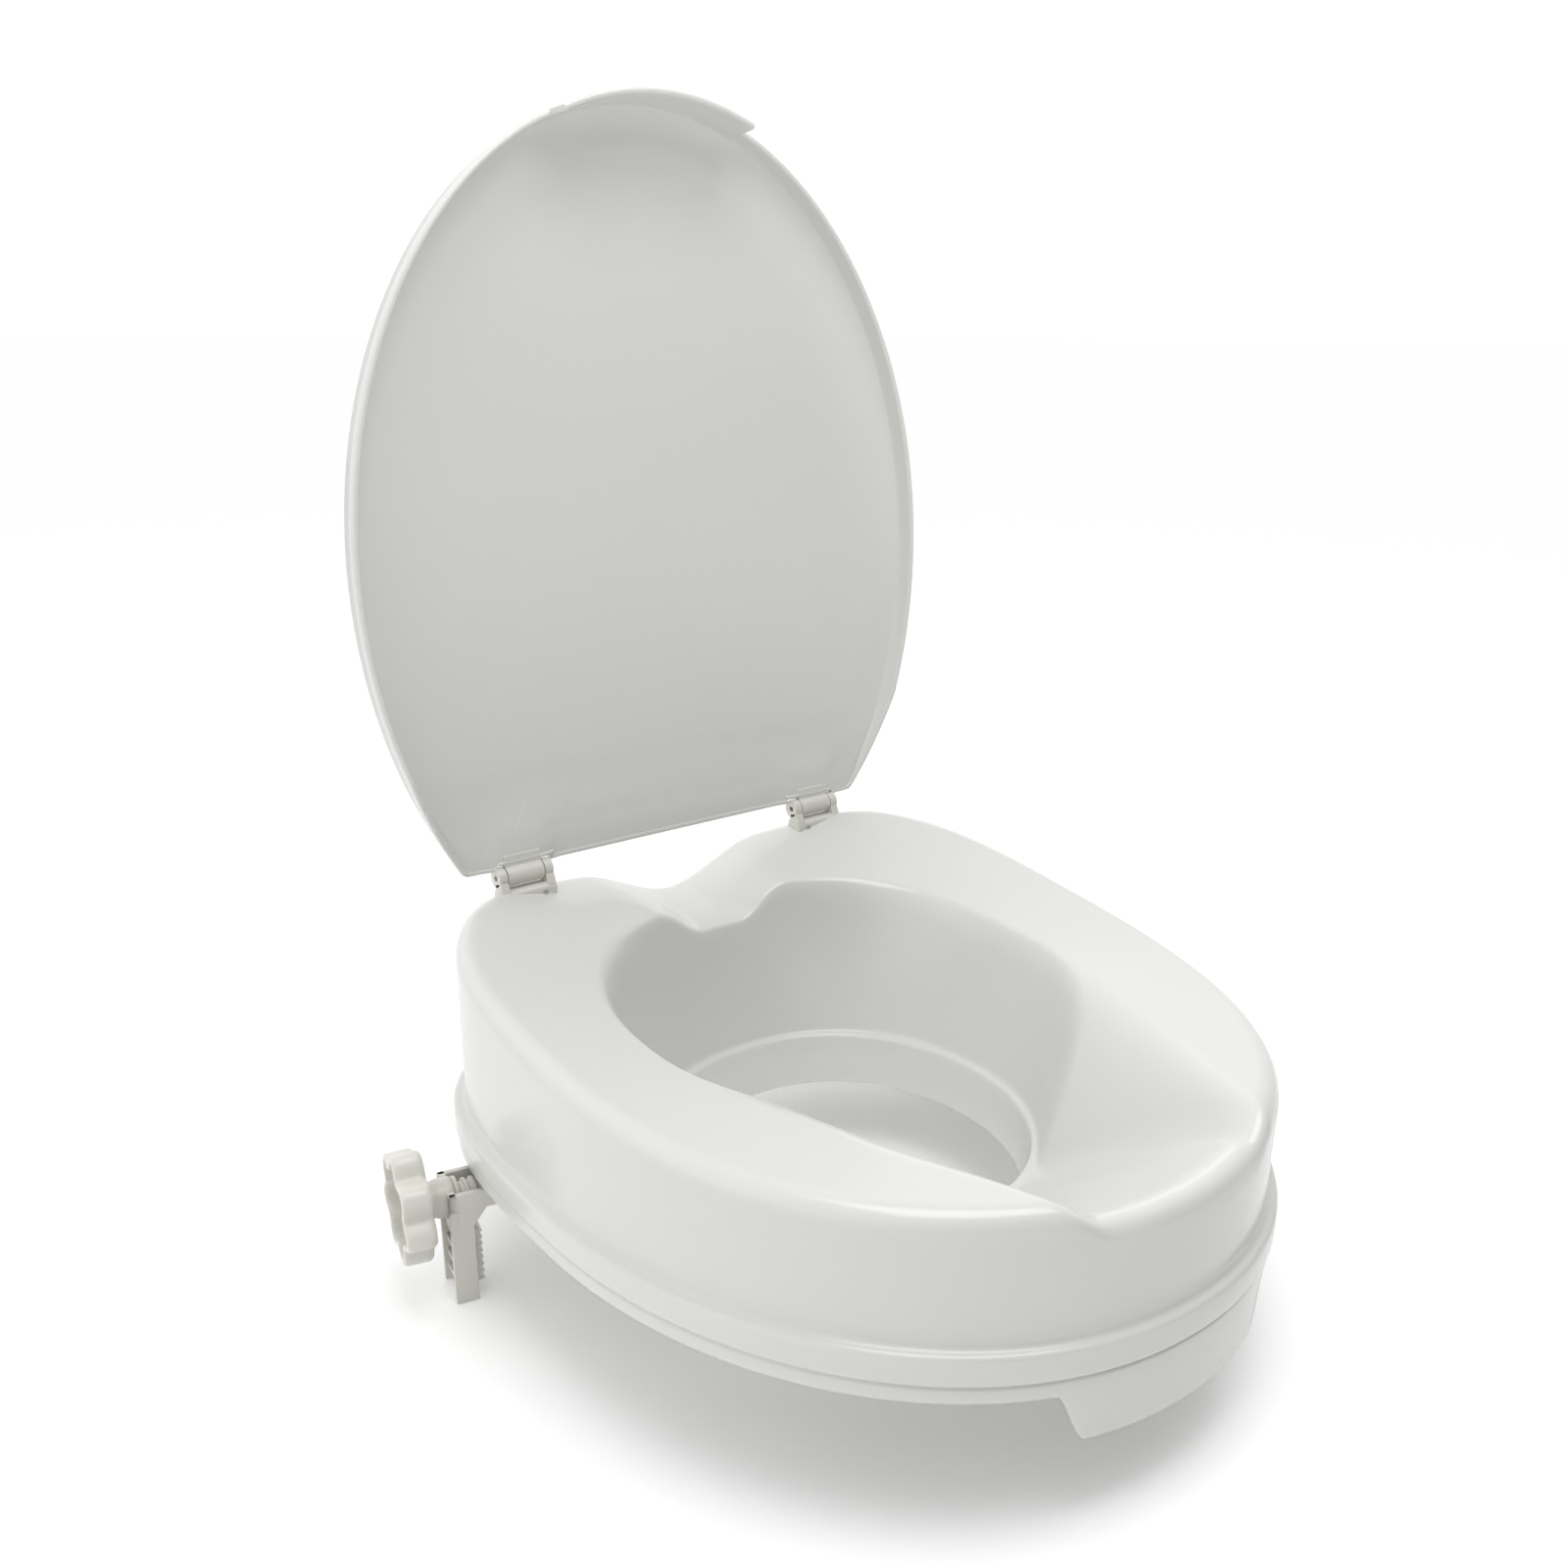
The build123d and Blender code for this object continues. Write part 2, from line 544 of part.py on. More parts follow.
KNOB_START = -9.0               # the knob's inner face
KNOB_FACE = 3.5                 # thickness of its face
KNOB_WALL = 5.5                 # depth of the lobes and the wall together
LOBE_R = 8.5
NECK_LENGTH = 15.0
GUIDE_LIP = 4.0                 # thickness of the lips under the rails
LIP_REACH = 2.6                 # the lips stop this far from the screw
GUIDE_SCREW_R = 1.6
GUIDE_HEAD_R = 2.8
GUIDE_SCREW_LENGTH = 8.0
NUT_LENGTH = 14.0
NUT_SIDE = 1.9
NUT_FIT = 0.3
NUT_DROP = 11.0                 # the nut reaches this far below the screw's axis

def guide_screws_at(side, mode):
    """Countersunk screws that hold one guide, with their heads sunk above the clamp screw's groove."""
    with Locations(clamp_plane(side, AXIS_Z + SCREW_R + GAP + 0.2).location):
        with Locations((GUIDE_MID, 0)):
            with GridLocations(GUIDE_SCREWS, 1, 2, 1):
                Cylinder(GUIDE_SCREW_R, GUIDE_SCREW_LENGTH, align=STANDING, mode=mode)
                Cone(GUIDE_HEAD_R, GUIDE_SCREW_R, 1.4, align=STANDING, mode=mode)


for side, hand in ((-1, "left"), (1, "right")):
    with BuildPart() as bracket:
        # Rails, joined by the end plate and the far bar.
        with BuildSketch(clamp_plane(side, RAIL_BOTTOM)):
            with Locations((RAIL_LENGTH / 2, 0)):
                Rectangle(RAIL_LENGTH, TRAY_WIDTH)
                Rectangle(RAIL_LENGTH - 2 * END_PLATE_T, TRAY_WIDTH - 2 * RAIL_T, mode=Mode.SUBTRACT)
        extrude(amount=RAIL_TOP - RAIL_BOTTOM)
        with BuildSketch(cross_plane(side, 0)):
            with Locations((0, RAIL_TOP - AXIS_Z - END_PLATE_HEIGHT / 2)):
                Rectangle(TRAY_WIDTH, END_PLATE_HEIGHT)
        extrude(amount=END_PLATE_T)
        # Cradle for the screw's neck, open at the top, and bearing for its far end.
        with BuildSketch(cross_plane(side, -1)):
            Circle(NECK_R + GAP)
            with Locations((0, 15)):
                Rectangle(2 * (NECK_R + GAP), 30)
        extrude(amount=END_PLATE_T + 2, mode=Mode.SUBTRACT)
        with BuildSketch(cross_plane(side, RAIL_LENGTH - END_PLATE_T - 1)):
            Circle(JOURNAL_R + JOURNAL_FIT)
        extrude(amount=END_PLATE_T + 2, mode=Mode.SUBTRACT)
        # Leg: two flanges with a gusset each, and the plate between them that carries the teeth.
        for across in (-FLANGE_Q, FLANGE_Q):
            flat = clamp_plane(side, AXIS_Z)
            face = Plane(origin=flat.origin + flat.y_dir * across, x_dir=flat.x_dir, z_dir=-flat.y_dir)
            with BuildSketch(face):
                with BuildLine():
                    Polyline(
                        (0, RAIL_TOP - AXIS_Z),
                        (0, -AXIS_Z),
                        (LEG_LENGTH, -AXIS_Z),
                        (LEG_LENGTH, RAIL_BOTTOM - GUSSET_HEIGHT - AXIS_Z),
                        (LEG_LENGTH + GUSSET_LENGTH, RAIL_BOTTOM - AXIS_Z),
                        (LEG_LENGTH + GUSSET_LENGTH, RAIL_TOP - AXIS_Z),
                        close=True,
                    )
                make_face()
            extrude(amount=RAIL_T / 2, both=True)
        with BuildSketch(cross_plane(side, LEG_LENGTH - LEG_PLATE)):
            with Locations((0, (PLATE_TOP + PLATE_BOTTOM) / 2 - AXIS_Z)):
                Rectangle(TRAY_WIDTH, PLATE_TOP - PLATE_BOTTOM)
        extrude(amount=LEG_PLATE)
    parts["bracket_" + hand] = bracket.part

    with BuildPart() as jaw_teeth:
        flat = clamp_plane(side, AXIS_Z)
        face = Plane(origin=flat.origin, x_dir=flat.x_dir, z_dir=-flat.y_dir)
        with BuildSketch(face):
            with BuildLine():
                outline = [(LEG_LENGTH, TEETH_TOP - AXIS_Z)]
                for i in range(TEETH):
                    top = TEETH_TOP - AXIS_Z - i * TOOTH_PITCH
                    outline.append((LEG_LENGTH + TOOTH_ROOT, top))
                    outline.append((LEG_LENGTH + TOOTH_ROOT + TOOTH_DEPTH, top - TOOTH_SLANT * TOOTH_PITCH))
                bottom = TEETH_TOP - AXIS_Z - TEETH * TOOTH_PITCH
                outline.append((LEG_LENGTH + TOOTH_ROOT, bottom))
                outline.append((LEG_LENGTH, bottom))
                Polyline(*outline, close=True)
            make_face()
        extrude(amount=JAW_HALF, both=True)
    parts["jaw_teeth_" + hand] = jaw_teeth.part

    with BuildPart() as clamp_screw:
        with BuildSketch(cross_plane(side, COLLAR_START)):
            Circle(COLLAR_R)
        extrude(amount=COLLAR_T)
        with BuildSketch(cross_plane(side, COLLAR_START + COLLAR_T)):
            Circle(SCREW_R - THREAD_DEPTH)
        extrude(amount=SCREW_END - COLLAR_START - COLLAR_T)
        # Thread, drawn as one ring for each turn.
        turns = int((SCREW_END - THREAD_START - 1) / LEAD)
        for i in range(turns):
            with BuildSketch(cross_plane(side, THREAD_START + i * LEAD)):
                Circle(SCREW_R)
                Circle(SCREW_R - THREAD_DEPTH - 0.2, mode=Mode.SUBTRACT)
            extrude(amount=LEAD / 2)
        with BuildSketch(cross_plane(side, SCREW_END)):
            Circle(JOURNAL_R)
        extrude(amount=RAIL_LENGTH + GAP + END_CAP_T - SCREW_END)
        with BuildSketch(cross_plane(side, RAIL_LENGTH + GAP)):
            Circle(END_CAP_R)
        extrude(amount=END_CAP_T)
        with BuildSketch(cross_plane(side, TANG_START)):
            Rectangle(TANG, TANG)
        extrude(amount=TANG_LENGTH)
    parts["clamp_screw_" + hand] = clamp_screw.part

    with BuildPart() as knob:
        with BuildSketch(cross_plane(side, KNOB_START)) as lobed:
            Circle(KNOB_R - 2.5)
            with PolarLocations(KNOB_R - 6, KNOB_LOBES, start_angle=90):
                Circle(LOBE_R)
            fillet(lobed.vertices(), 3.5)
        extrude(amount=-KNOB_DEPTH)
        with BuildSketch(cross_plane(side, KNOB_START - KNOB_FACE)):
            Circle(KNOB_R - KNOB_WALL)
        extrude(amount=-KNOB_DEPTH, mode=Mode.SUBTRACT)
        with BuildSketch(cross_plane(side, KNOB_START - 1)):
            Circle(NECK_R)
        extrude(amount=NECK_LENGTH)
        with BuildSketch(cross_plane(side, TANG_START)):
            Rectangle(TANG, TANG)
        extrude(amount=NECK_LENGTH, mode=Mode.SUBTRACT)
    parts["knob_" + hand] = knob.part

    # Guide: a channel that the rails slide through, with lips under them.
    inner = TRAY_WIDTH / 2 + GAP
    outer = GUIDE_WIDTH / 2
    with BuildPart() as guide:
        with BuildSketch(cross_plane(side, GUIDE_START)):
            with BuildLine():
                Polyline(
                    (-outer, GUIDE_TOP - AXIS_Z),
                    (outer, GUIDE_TOP - AXIS_Z),
                    (outer, RAIL_BOTTOM - GUIDE_LIP - AXIS_Z),
                    (SCREW_R + LIP_REACH, RAIL_BOTTOM - GUIDE_LIP - AXIS_Z),
                    (SCREW_R + LIP_REACH, RAIL_BOTTOM - GAP - AXIS_Z),
                    (inner, RAIL_BOTTOM - GAP - AXIS_Z),
                    (inner, RAIL_TOP + GAP - AXIS_Z),
                    (-inner, RAIL_TOP + GAP - AXIS_Z),
                    (-inner, RAIL_BOTTOM - GAP - AXIS_Z),
                    (-SCREW_R - LIP_REACH, RAIL_BOTTOM - GAP - AXIS_Z),
                    (-SCREW_R - LIP_REACH, RAIL_BOTTOM - GUIDE_LIP - AXIS_Z),
                    (-outer, RAIL_BOTTOM - GUIDE_LIP - AXIS_Z),
                    close=True,
                )
            make_face()
        extrude(amount=GUIDE_LENGTH)
        with BuildSketch(cross_plane(side, GUIDE_START)):
            Circle(SCREW_R + GAP)
        extrude(amount=GUIDE_LENGTH, mode=Mode.SUBTRACT)
        guide_screws_at(side, Mode.SUBTRACT)
        with Locations(clamp_plane(side, AXIS_Z).location):
            with Locations((GUIDE_MID, 0)):
                with GridLocations(GUIDE_SCREWS, 1, 2, 1):
                    Cylinder(GUIDE_HEAD_R, SCREW_R + 2 * GAP, align=STANDING, mode=Mode.SUBTRACT)
    parts["guide_" + hand] = guide.part

    with BuildPart() as nut:
        top = RAIL_TOP + GAP - AXIS_Z
        with BuildSketch(cross_plane(side, GUIDE_MID - NUT_LENGTH / 2)):
            with Locations((0, (top - NUT_DROP) / 2)):
                Rectangle(2 * (SCREW_R + NUT_SIDE), top + NUT_DROP)
            Circle(SCREW_R + NUT_FIT, mode=Mode.SUBTRACT)
        extrude(amount=NUT_LENGTH)
    parts["nut_" + hand] = nut.part

    with BuildPart() as guide_screws:
        guide_screws_at(side, Mode.ADD)
    parts["guide_screws_" + hand] = guide_screws.part

for name, part in parts.items():
    part.label = name
    export_step(part, "parts/" + name + ".step")
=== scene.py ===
import json
import math

import bmesh
import bpy
import numpy as np
from mathutils import Matrix, Vector


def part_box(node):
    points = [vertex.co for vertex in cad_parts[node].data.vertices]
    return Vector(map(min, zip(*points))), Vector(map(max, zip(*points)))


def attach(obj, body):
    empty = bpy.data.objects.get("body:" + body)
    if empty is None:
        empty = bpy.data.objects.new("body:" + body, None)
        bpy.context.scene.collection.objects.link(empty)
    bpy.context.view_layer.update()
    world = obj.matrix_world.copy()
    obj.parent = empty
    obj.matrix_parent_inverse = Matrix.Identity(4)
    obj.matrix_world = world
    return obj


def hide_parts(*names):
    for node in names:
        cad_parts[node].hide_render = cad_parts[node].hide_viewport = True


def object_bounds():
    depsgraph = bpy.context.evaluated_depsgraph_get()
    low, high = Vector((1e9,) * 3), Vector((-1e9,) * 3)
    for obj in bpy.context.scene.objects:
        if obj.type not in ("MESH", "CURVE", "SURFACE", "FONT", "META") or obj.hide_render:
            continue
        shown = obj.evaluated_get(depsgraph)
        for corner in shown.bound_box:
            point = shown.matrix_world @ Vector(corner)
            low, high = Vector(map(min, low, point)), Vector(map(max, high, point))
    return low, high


# Raised toilet seat with lid and two screw clamps. Metres in Blender; the shape functions below work in
# millimetres, from the middle of the seat and the level of its flange.

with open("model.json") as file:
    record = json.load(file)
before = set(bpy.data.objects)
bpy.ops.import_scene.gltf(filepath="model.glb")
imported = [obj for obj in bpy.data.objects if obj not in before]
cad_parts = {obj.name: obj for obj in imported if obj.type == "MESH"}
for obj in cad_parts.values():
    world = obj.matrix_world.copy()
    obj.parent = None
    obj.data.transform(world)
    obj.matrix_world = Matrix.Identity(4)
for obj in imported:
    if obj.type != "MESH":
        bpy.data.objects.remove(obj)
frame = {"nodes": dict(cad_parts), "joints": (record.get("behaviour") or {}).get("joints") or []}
cad_low, cad_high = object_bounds()
MM = 0.001
HANDS = {"left": -1, "right": 1}
joints = {joint["name"]: joint for joint in frame["joints"]}
seat_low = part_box("seat_shell")[0]

# ---- sizes ---------------------------------------------------------------------------------------
# Plan of the flange, and how far each part of the outside lies in from it.
FLANGE_HALF_WIDTH = 184.8
FLANGE_FRONT = 222.9
FLANGE_BACK = 180.5
FRONT_POWER = 2.08
BACK_POWER = 3.3
WALL = 3.2
WALL_INSET = 5.8
BAND_INSET = 1.4
GROOVE_INSET = 2.4
# Rings round the opening: half width, reach to the front, reach to the back, power of the back half.
CREST_RING = (118.0, 112.0, 116.0, 2.5)
LEDGE_RING = (95.0, 101.0, 101.0, 2.2)
LIP_TOP_RING = (91.0, 98.0, 96.0, 2.2)
LIP_BOTTOM_RING = (87.0, 96.0, 90.0, 2.2)
# Heights from the flange.
FLANGE_SHOULDER = 1.2
FLANGE_TOP = -0.4
FLANGE_BOTTOM = -13.2
GROOVE_Z = -14.6
BAND_TOP = -16.2
LEDGE_Z = -16.0
LIP_BOTTOM = -45.0
SKIRT_BOTTOM = -23.0
APRON_BOTTOM = -47.0        # the splash guard at the front
APRON_HALF = 62.0
APRON_FADE = 7.0
RIM_Z = 60.0
RIM_SLOPE = 0.165           # the rim and the crest climb towards the back
RIM_RADIUS = 11.0
CREST_Z = 57.0
CREST_SLOPE = 0.17
CREST_LIFT = 2.5
CREST_BLEND = 14.0
VALLEY_Z = 65.5             # the back of the seat falls to this height at the middle
VALLEY_SLOPE = 0.245
VALLEY_BLEND = 10.0
SHOULDER_RISE = 4.5         # low swelling beside the rear dip
SHOULDER_X = 58.0
SHOULDER_SPREAD = 24.0
# The two cleansing dips.
FRONT_DIP_Y = -206.5
FRONT_DIP_LIP = 49.5
FRONT_DIP_FALL = 0.63
FRONT_DIP_BOW = 0.0033
FRONT_DIP_HALF = 56.0
FRONT_DIP_FLARE = 0.27
FRONT_DIP_BANK = 1.75
REAR_DIP_Y = 49.5
REAR_DIP_FLOOR = 43.5
REAR_DIP_CLIMB = 0.19
REAR_DIP_HALF = 14.0
REAR_DIP_BACK = 158.0       # the rear dip widens and its banks steepen from here inwards
REAR_DIP_RUN = 98.0
# Points round the seat, and along the top and the underside of each section.
SEAT_COLUMNS = 640
TOP_POINTS = 96
INNER_POINTS = 72

seat_middle = Vector((0, seat_low.y + FLANGE_FRONT * MM, seat_low.z - APRON_BOTTOM * MM))


# ---- mesh helpers --------------------------------------------------------------------------------
def place(piece, body, replaced=()):
    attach(piece, body)
    for node in replaced:
        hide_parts(node)
    return piece


def mesh_object(name, points, faces, material, smooth=True):
    mesh = bpy.data.meshes.new(name)
    mesh.from_pydata([tuple(point) for point in points], [], faces)
    mesh.validate()
    build = bmesh.new()
    build.from_mesh(mesh)
    bmesh.ops.recalc_face_normals(build, faces=build.faces)
    build.to_mesh(mesh)
    build.free()
    piece = bpy.data.objects.new(name, mesh)
    bpy.context.scene.collection.objects.link(piece)
    mesh.materials.append(material)
    if smooth:
        mesh.shade_smooth()
    return piece


def loop_faces(rows, columns, close_rows=True, close_columns=True):
    """Quads of a grid whose rows and columns may each close on themselves."""
    faces = []
    for i in range(rows if close_rows else rows - 1):
        for j in range(columns if close_columns else columns - 1):
            a, b = i, (i + 1) % rows
            c, d = j, (j + 1) % columns
            faces.append((a * columns + c, b * columns + c, b * columns + d, a * columns + d))
    return faces


def rounded_chain(points, radii, steps=5):
    """Open chain of corners, each an array of (n, 2) points, with every inner corner rounded."""
    parts = [points[0][:, None, :]]
    for k in range(1, len(points) - 1):
        corner = points[k]
        before, after = points[k - 1] - corner, points[k + 1] - corner
        length_in = np.linalg.norm(before, axis=1, keepdims=True)
        length_out = np.linalg.norm(after, axis=1, keepdims=True)
        reach_in = np.minimum(radii[k], 0.48 * length_in)
        reach_out = np.minimum(radii[k], 0.48 * length_out)
        start = corner + before / length_in * reach_in
        end = corner + after / length_out * reach_out
        for t in np.linspace(0, 1, steps):
            parts.append(((1 - t) ** 2 * start + 2 * t * (1 - t) * corner + t * t * end)[:, None, :])
    parts.append(points[-1][:, None, :])
    return np.concatenate(parts, axis=1)


def evenly(curve, count):
    """The same curves, (n, m, 2), with count points at equal steps along each."""
    steps = np.linalg.norm(np.diff(curve, axis=1), axis=2)
    along = np.concatenate([np.zeros((len(curve), 1)), np.cumsum(steps, axis=1)], axis=1)
    out = np.empty((len(curve), count, 2))
    for i in range(len(curve)):
        at = np.linspace(0, along[i, -1], count)
        out[i, :, 0] = np.interp(at, along[i], curve[i, :, 0])
        out[i, :, 1] = np.interp(at, along[i], curve[i, :, 1])
    return out


def smooth_min(a, b, k):
    h = np.maximum(k - np.abs(a - b), 0) / k
    return np.minimum(a, b) - h * h * k / 4


def smooth_max(a, b, k):
    return -smooth_min(-a, -b, k)


def soft_ramp(y, width):
    return width * np.log1p(np.exp(y / width))


def smooth_step(x, low, high):
    t = np.clip((x - low) / (high - low), 0, 1)
    return t * t * (3 - 2 * t)


# ---- seat ----------------------------------------------------------------------------------------
def egg_radius(angle, half, front, back, front_power, back_power):
    across, along = np.abs(np.sin(angle)), np.cos(angle)
    reach = np.where(along > 0, front, back)
    power = np.where(along > 0, front_power, back_power)
    return ((across / half) ** power + (np.abs(along) / reach) ** power) ** (-1 / power)


def opening_radius(angle, ring):
    half, front, back, back_power = ring
    return egg_radius(angle, half, front, back, 2.0, back_power)


def outline_radius(angle, inset):
    sizes = (FLANGE_HALF_WIDTH - inset, FLANGE_FRONT - inset, FLANGE_BACK - inset)
    return egg_radius(angle, *sizes, FRONT_POWER, BACK_POWER)


def valley_height(across):
    """Height that the back of the seat falls to, this far to either side."""
    shoulder = SHOULDER_RISE * np.exp(-((across - SHOULDER_X) / SHOULDER_SPREAD) ** 2)
    return VALLEY_Z + VALLEY_SLOPE * across + shoulder


def rim_height(angle, radius):
    y = -radius * np.cos(angle)
    valley = valley_height(radius * np.abs(np.sin(angle)))
    return smooth_min(RIM_Z + RIM_SLOPE * soft_ramp(y + 60, 40), valley, VALLEY_BLEND)


def crest_height(angle, radius):
    y = -radius * np.cos(angle)
    valley = valley_height(radius * np.abs(np.sin(angle))) - 2
    return smooth_min(CREST_Z + CREST_SLOPE * soft_ramp(y - 35, 25), valley, VALLEY_BLEND)


def cut_front_dip(height, x, y):
    """The seat's height with the front dip taken out of it."""
    run = y - FRONT_DIP_Y - FRONT_DIP_BOW * x * x * (1 - smooth_step(y, -195, -110))
    floor = smooth_min(FRONT_DIP_LIP + 0.5 - FRONT_DIP_FALL * run, np.full_like(y, FRONT_DIP_LIP), 6)
    half = FRONT_DIP_HALF + FRONT_DIP_FLARE * np.maximum(y - FRONT_DIP_Y, 0)
    bank = 57 + (x - half) * FRONT_DIP_BANK
    cut = smooth_min(height, smooth_max(floor, bank, 16), 12 + 16 * smooth_step(y, -190, -110))
    return cut + (height - cut) * smooth_step(y, -45, -5)


def cut_rear_dip(height, x, y):
    """The seat's height with the rear dip taken out of it."""
    floor = REAR_DIP_FLOOR + REAR_DIP_CLIMB * (y - REAR_DIP_Y)
    inward = np.clip((REAR_DIP_BACK - y) / REAR_DIP_RUN, 0, 1)
    bank = floor + (x - REAR_DIP_HALF - 10 * inward) * (0.62 + 0.8 * inward)
    cut = smooth_min(height, smooth_max(floor, bank, 7), 9)
    return height + (cut - height) * smooth_step(y, 5, 35)


def surface_height(radius, angle):
    """Top of the seat over a point, with the two cleansing dips, before its outer edge is rounded."""
    x, y = np.abs(radius * np.sin(angle)), -radius * np.cos(angle)
    crest = opening_radius(angle, CREST_RING)
    ledge = opening_radius(angle, LEDGE_RING)
    wall = outline_radius(angle, WALL_INSET)
    rim_z, crest_z = rim_height(angle, wall), crest_height(angle, crest) + CREST_LIFT
    seat = crest_z + (rim_z - crest_z) * (radius - crest) / (wall - crest)
    well = LEDGE_Z + (radius - ledge) * (crest_z - LEDGE_Z) / (crest - ledge)
    height = smooth_min(seat, well, CREST_BLEND)
    height = np.where(y < 0, cut_front_dip(height, x, y), cut_rear_dip(height, x, y))
    return smooth_max(height, np.full_like(height, LEDGE_Z), 4)


def top_height(radius, angle):
    """Top of the seat with its rounded outer edge."""
    wall = outline_radius(angle, WALL_INSET)
    over = np.clip(radius - (wall - RIM_RADIUS), 0, RIM_RADIUS)
    return surface_height(radius, angle) - RIM_RADIUS + np.sqrt(RIM_RADIUS ** 2 - over ** 2)


def height_at(x, y):
    """The same, from coordinates in millimetres from the seat's middle."""
    radius, angle = np.hypot(x, y), np.arctan2(x, -y)
    return float(top_height(np.array([radius]), np.array([angle]))[0])


def seat_angles():
    """Angles round the seat, closer together at the two dips and at the ends of the splash guard."""
    degrees = np.linspace(-180, 180, 7201)
    density = 1 + 1.6 * (np.abs(degrees) < 42) + 1.0 * (np.abs(degrees) > 145)
    count = np.cumsum(density)
    at = np.linspace(count[0], count[-1], SEAT_COLUMNS + 1)[:-1]
    return np.radians(np.interp(at, count, degrees))


def seat_profile(angle):
    """Closed cross-section of the shell at every angle, (n, m, 2), and the part of it that lies inside."""
    n = len(angle)
    wall = outline_radius(angle, WALL_INSET)
    outline = outline_radius(angle, 0)
    ledge = opening_radius(angle, LEDGE_RING)
    lip_top = opening_radius(angle, LIP_TOP_RING)
    lip_bottom = opening_radius(angle, LIP_BOTTOM_RING)
    share = 1 - (1 - np.linspace(0, 1, 900)) ** 1.6
    radius = (ledge - 1)[:, None] + (wall - ledge + 1)[:, None] * share[None, :]
    height = top_height(radius, angle[:, None])
    top = evenly(np.stack([radius, height], axis=2), TOP_POINTS)

    def pair(r, z):
        return np.stack([np.broadcast_to(r, (n,)), np.broadcast_to(z, (n,))], axis=1).astype(float)

    x = outline * np.abs(np.sin(angle))
    apron = (1 - smooth_step(x, APRON_HALF - APRON_FADE, APRON_HALF + APRON_FADE)) * (np.cos(angle) > 0)
    bottom = SKIRT_BOTTOM + (APRON_BOTTOM - SKIRT_BOTTOM) * apron
    corners = [
        top[:, -1, :],
        pair(wall, FLANGE_SHOULDER),
        pair(outline, FLANGE_TOP),
        pair(outline, FLANGE_BOTTOM),
        pair(outline - GROOVE_INSET, GROOVE_Z),
        pair(outline - BAND_INSET, BAND_TOP),
        pair(outline - BAND_INSET, bottom),
        pair(outline - BAND_INSET - WALL, bottom),
        pair(outline - BAND_INSET - WALL, -WALL),
        pair(wall - WALL, 0.0),
    ]
    tangent = np.gradient(top, axis=1)
    normal = np.stack([tangent[..., 1], -tangent[..., 0]], axis=2)
    normal /= np.linalg.norm(normal, axis=2, keepdims=True)
    inner = evenly(top + normal * WALL, INNER_POINTS)[:, ::-1, :]
    corners.append(inner[:, 0, :])
    outside = rounded_chain(corners, [0, 3.5, 2.6, 1.6, 0.7, 0.9, 1.3, 1.3, 2.5, 2.5, 0])
    lip = [
        inner[:, -1, :],
        pair(lip_top + WALL, LEDGE_Z - 5),
        pair(lip_bottom + WALL, LIP_BOTTOM),
        pair(lip_bottom, LIP_BOTTOM),
        pair(lip_top, LEDGE_Z),
        top[:, 0, :],
    ]
    inside = rounded_chain(lip, [0, 2.5, 1.4, 1.4, 3.0, 0])

    def between(chain, k, steps):
        """Points added along the straight stretch after point k."""
        share = np.linspace(0, 1, steps)[None, 1:-1, None]
        return chain[:, k:k + 1, :] + (chain[:, k + 1:k + 2, :] - chain[:, k:k + 1, :]) * share

    wall_run, lip_run = between(outside, 0, 14), between(inside, 10, 5)
    section = np.concatenate(
        [top, wall_run, outside[:, 1:-1, :], inner, inside[:, 1:11, :], lip_run, inside[:, 11:-1, :]], axis=1
    )
    under = np.concatenate([outside[:, -12:-1, :], inner, inside[:, 1:6, :]], axis=1)
    return section, under


def seat_points(angle, section):
    """Points in the shared frame, in metres, of sections at their angles."""
    x = section[..., 0] * np.sin(angle)[:, None]
    y = -section[..., 0] * np.cos(angle)[:, None]
    points = np.stack([x, y, section[..., 1]], axis=2) * MM + np.array(seat_middle)
    return points.reshape(-1, 3)


def make_seat(material):
    angle = seat_angles()
    section, _ = seat_profile(angle)
    rows, columns = section.shape[:2]
    piece = mesh_object("seat", seat_points(angle, section), loop_faces(rows, columns), material)
    return place(piece, "seat", ["seat_shell"])


RIB_ANGLES = (32, 58, 90, 138)
RIB_T = 2.4
RIB_BOTTOM = -20.0
RIB_SINK = 0.8


def make_ribs(material):
    """Thin radial ribs under the seat, from the wall to the lip."""
    points, faces = [], []
    for side in (-1, 1):
        for degrees in RIB_ANGLES:
            turn = np.radians(np.array([side * degrees], float))
            _, under = seat_profile(turn)
            edge = [(r, z + RIB_SINK) for r, z in under[0] if z > RIB_BOTTOM]
            edge = [(edge[0][0], RIB_BOTTOM)] + edge + [(edge[-1][0], RIB_BOTTOM)]
            outward = np.array([math.sin(turn[0]), -math.cos(turn[0]), 0])
            across = np.array([math.cos(turn[0]), math.sin(turn[0]), 0])
            base, count = len(points), len(edge)
            for offset in (-RIB_T / 2, RIB_T / 2):
                for r, z in edge:
                    point = outward * r + across * offset + np.array([0, 0, z])
                    points.append(point * MM + np.array(seat_middle))
            faces.append([base + k for k in range(count)])
            faces.append([base + count + k for k in reversed(range(count))])
            for k in range(count):
                nxt = (k + 1) % count
                faces.append([base + k, base + count + k, base + count + nxt, base + nxt])
    piece = mesh_object("seat_ribs", points, faces, material, smooth=False)
    return place(piece, "seat")


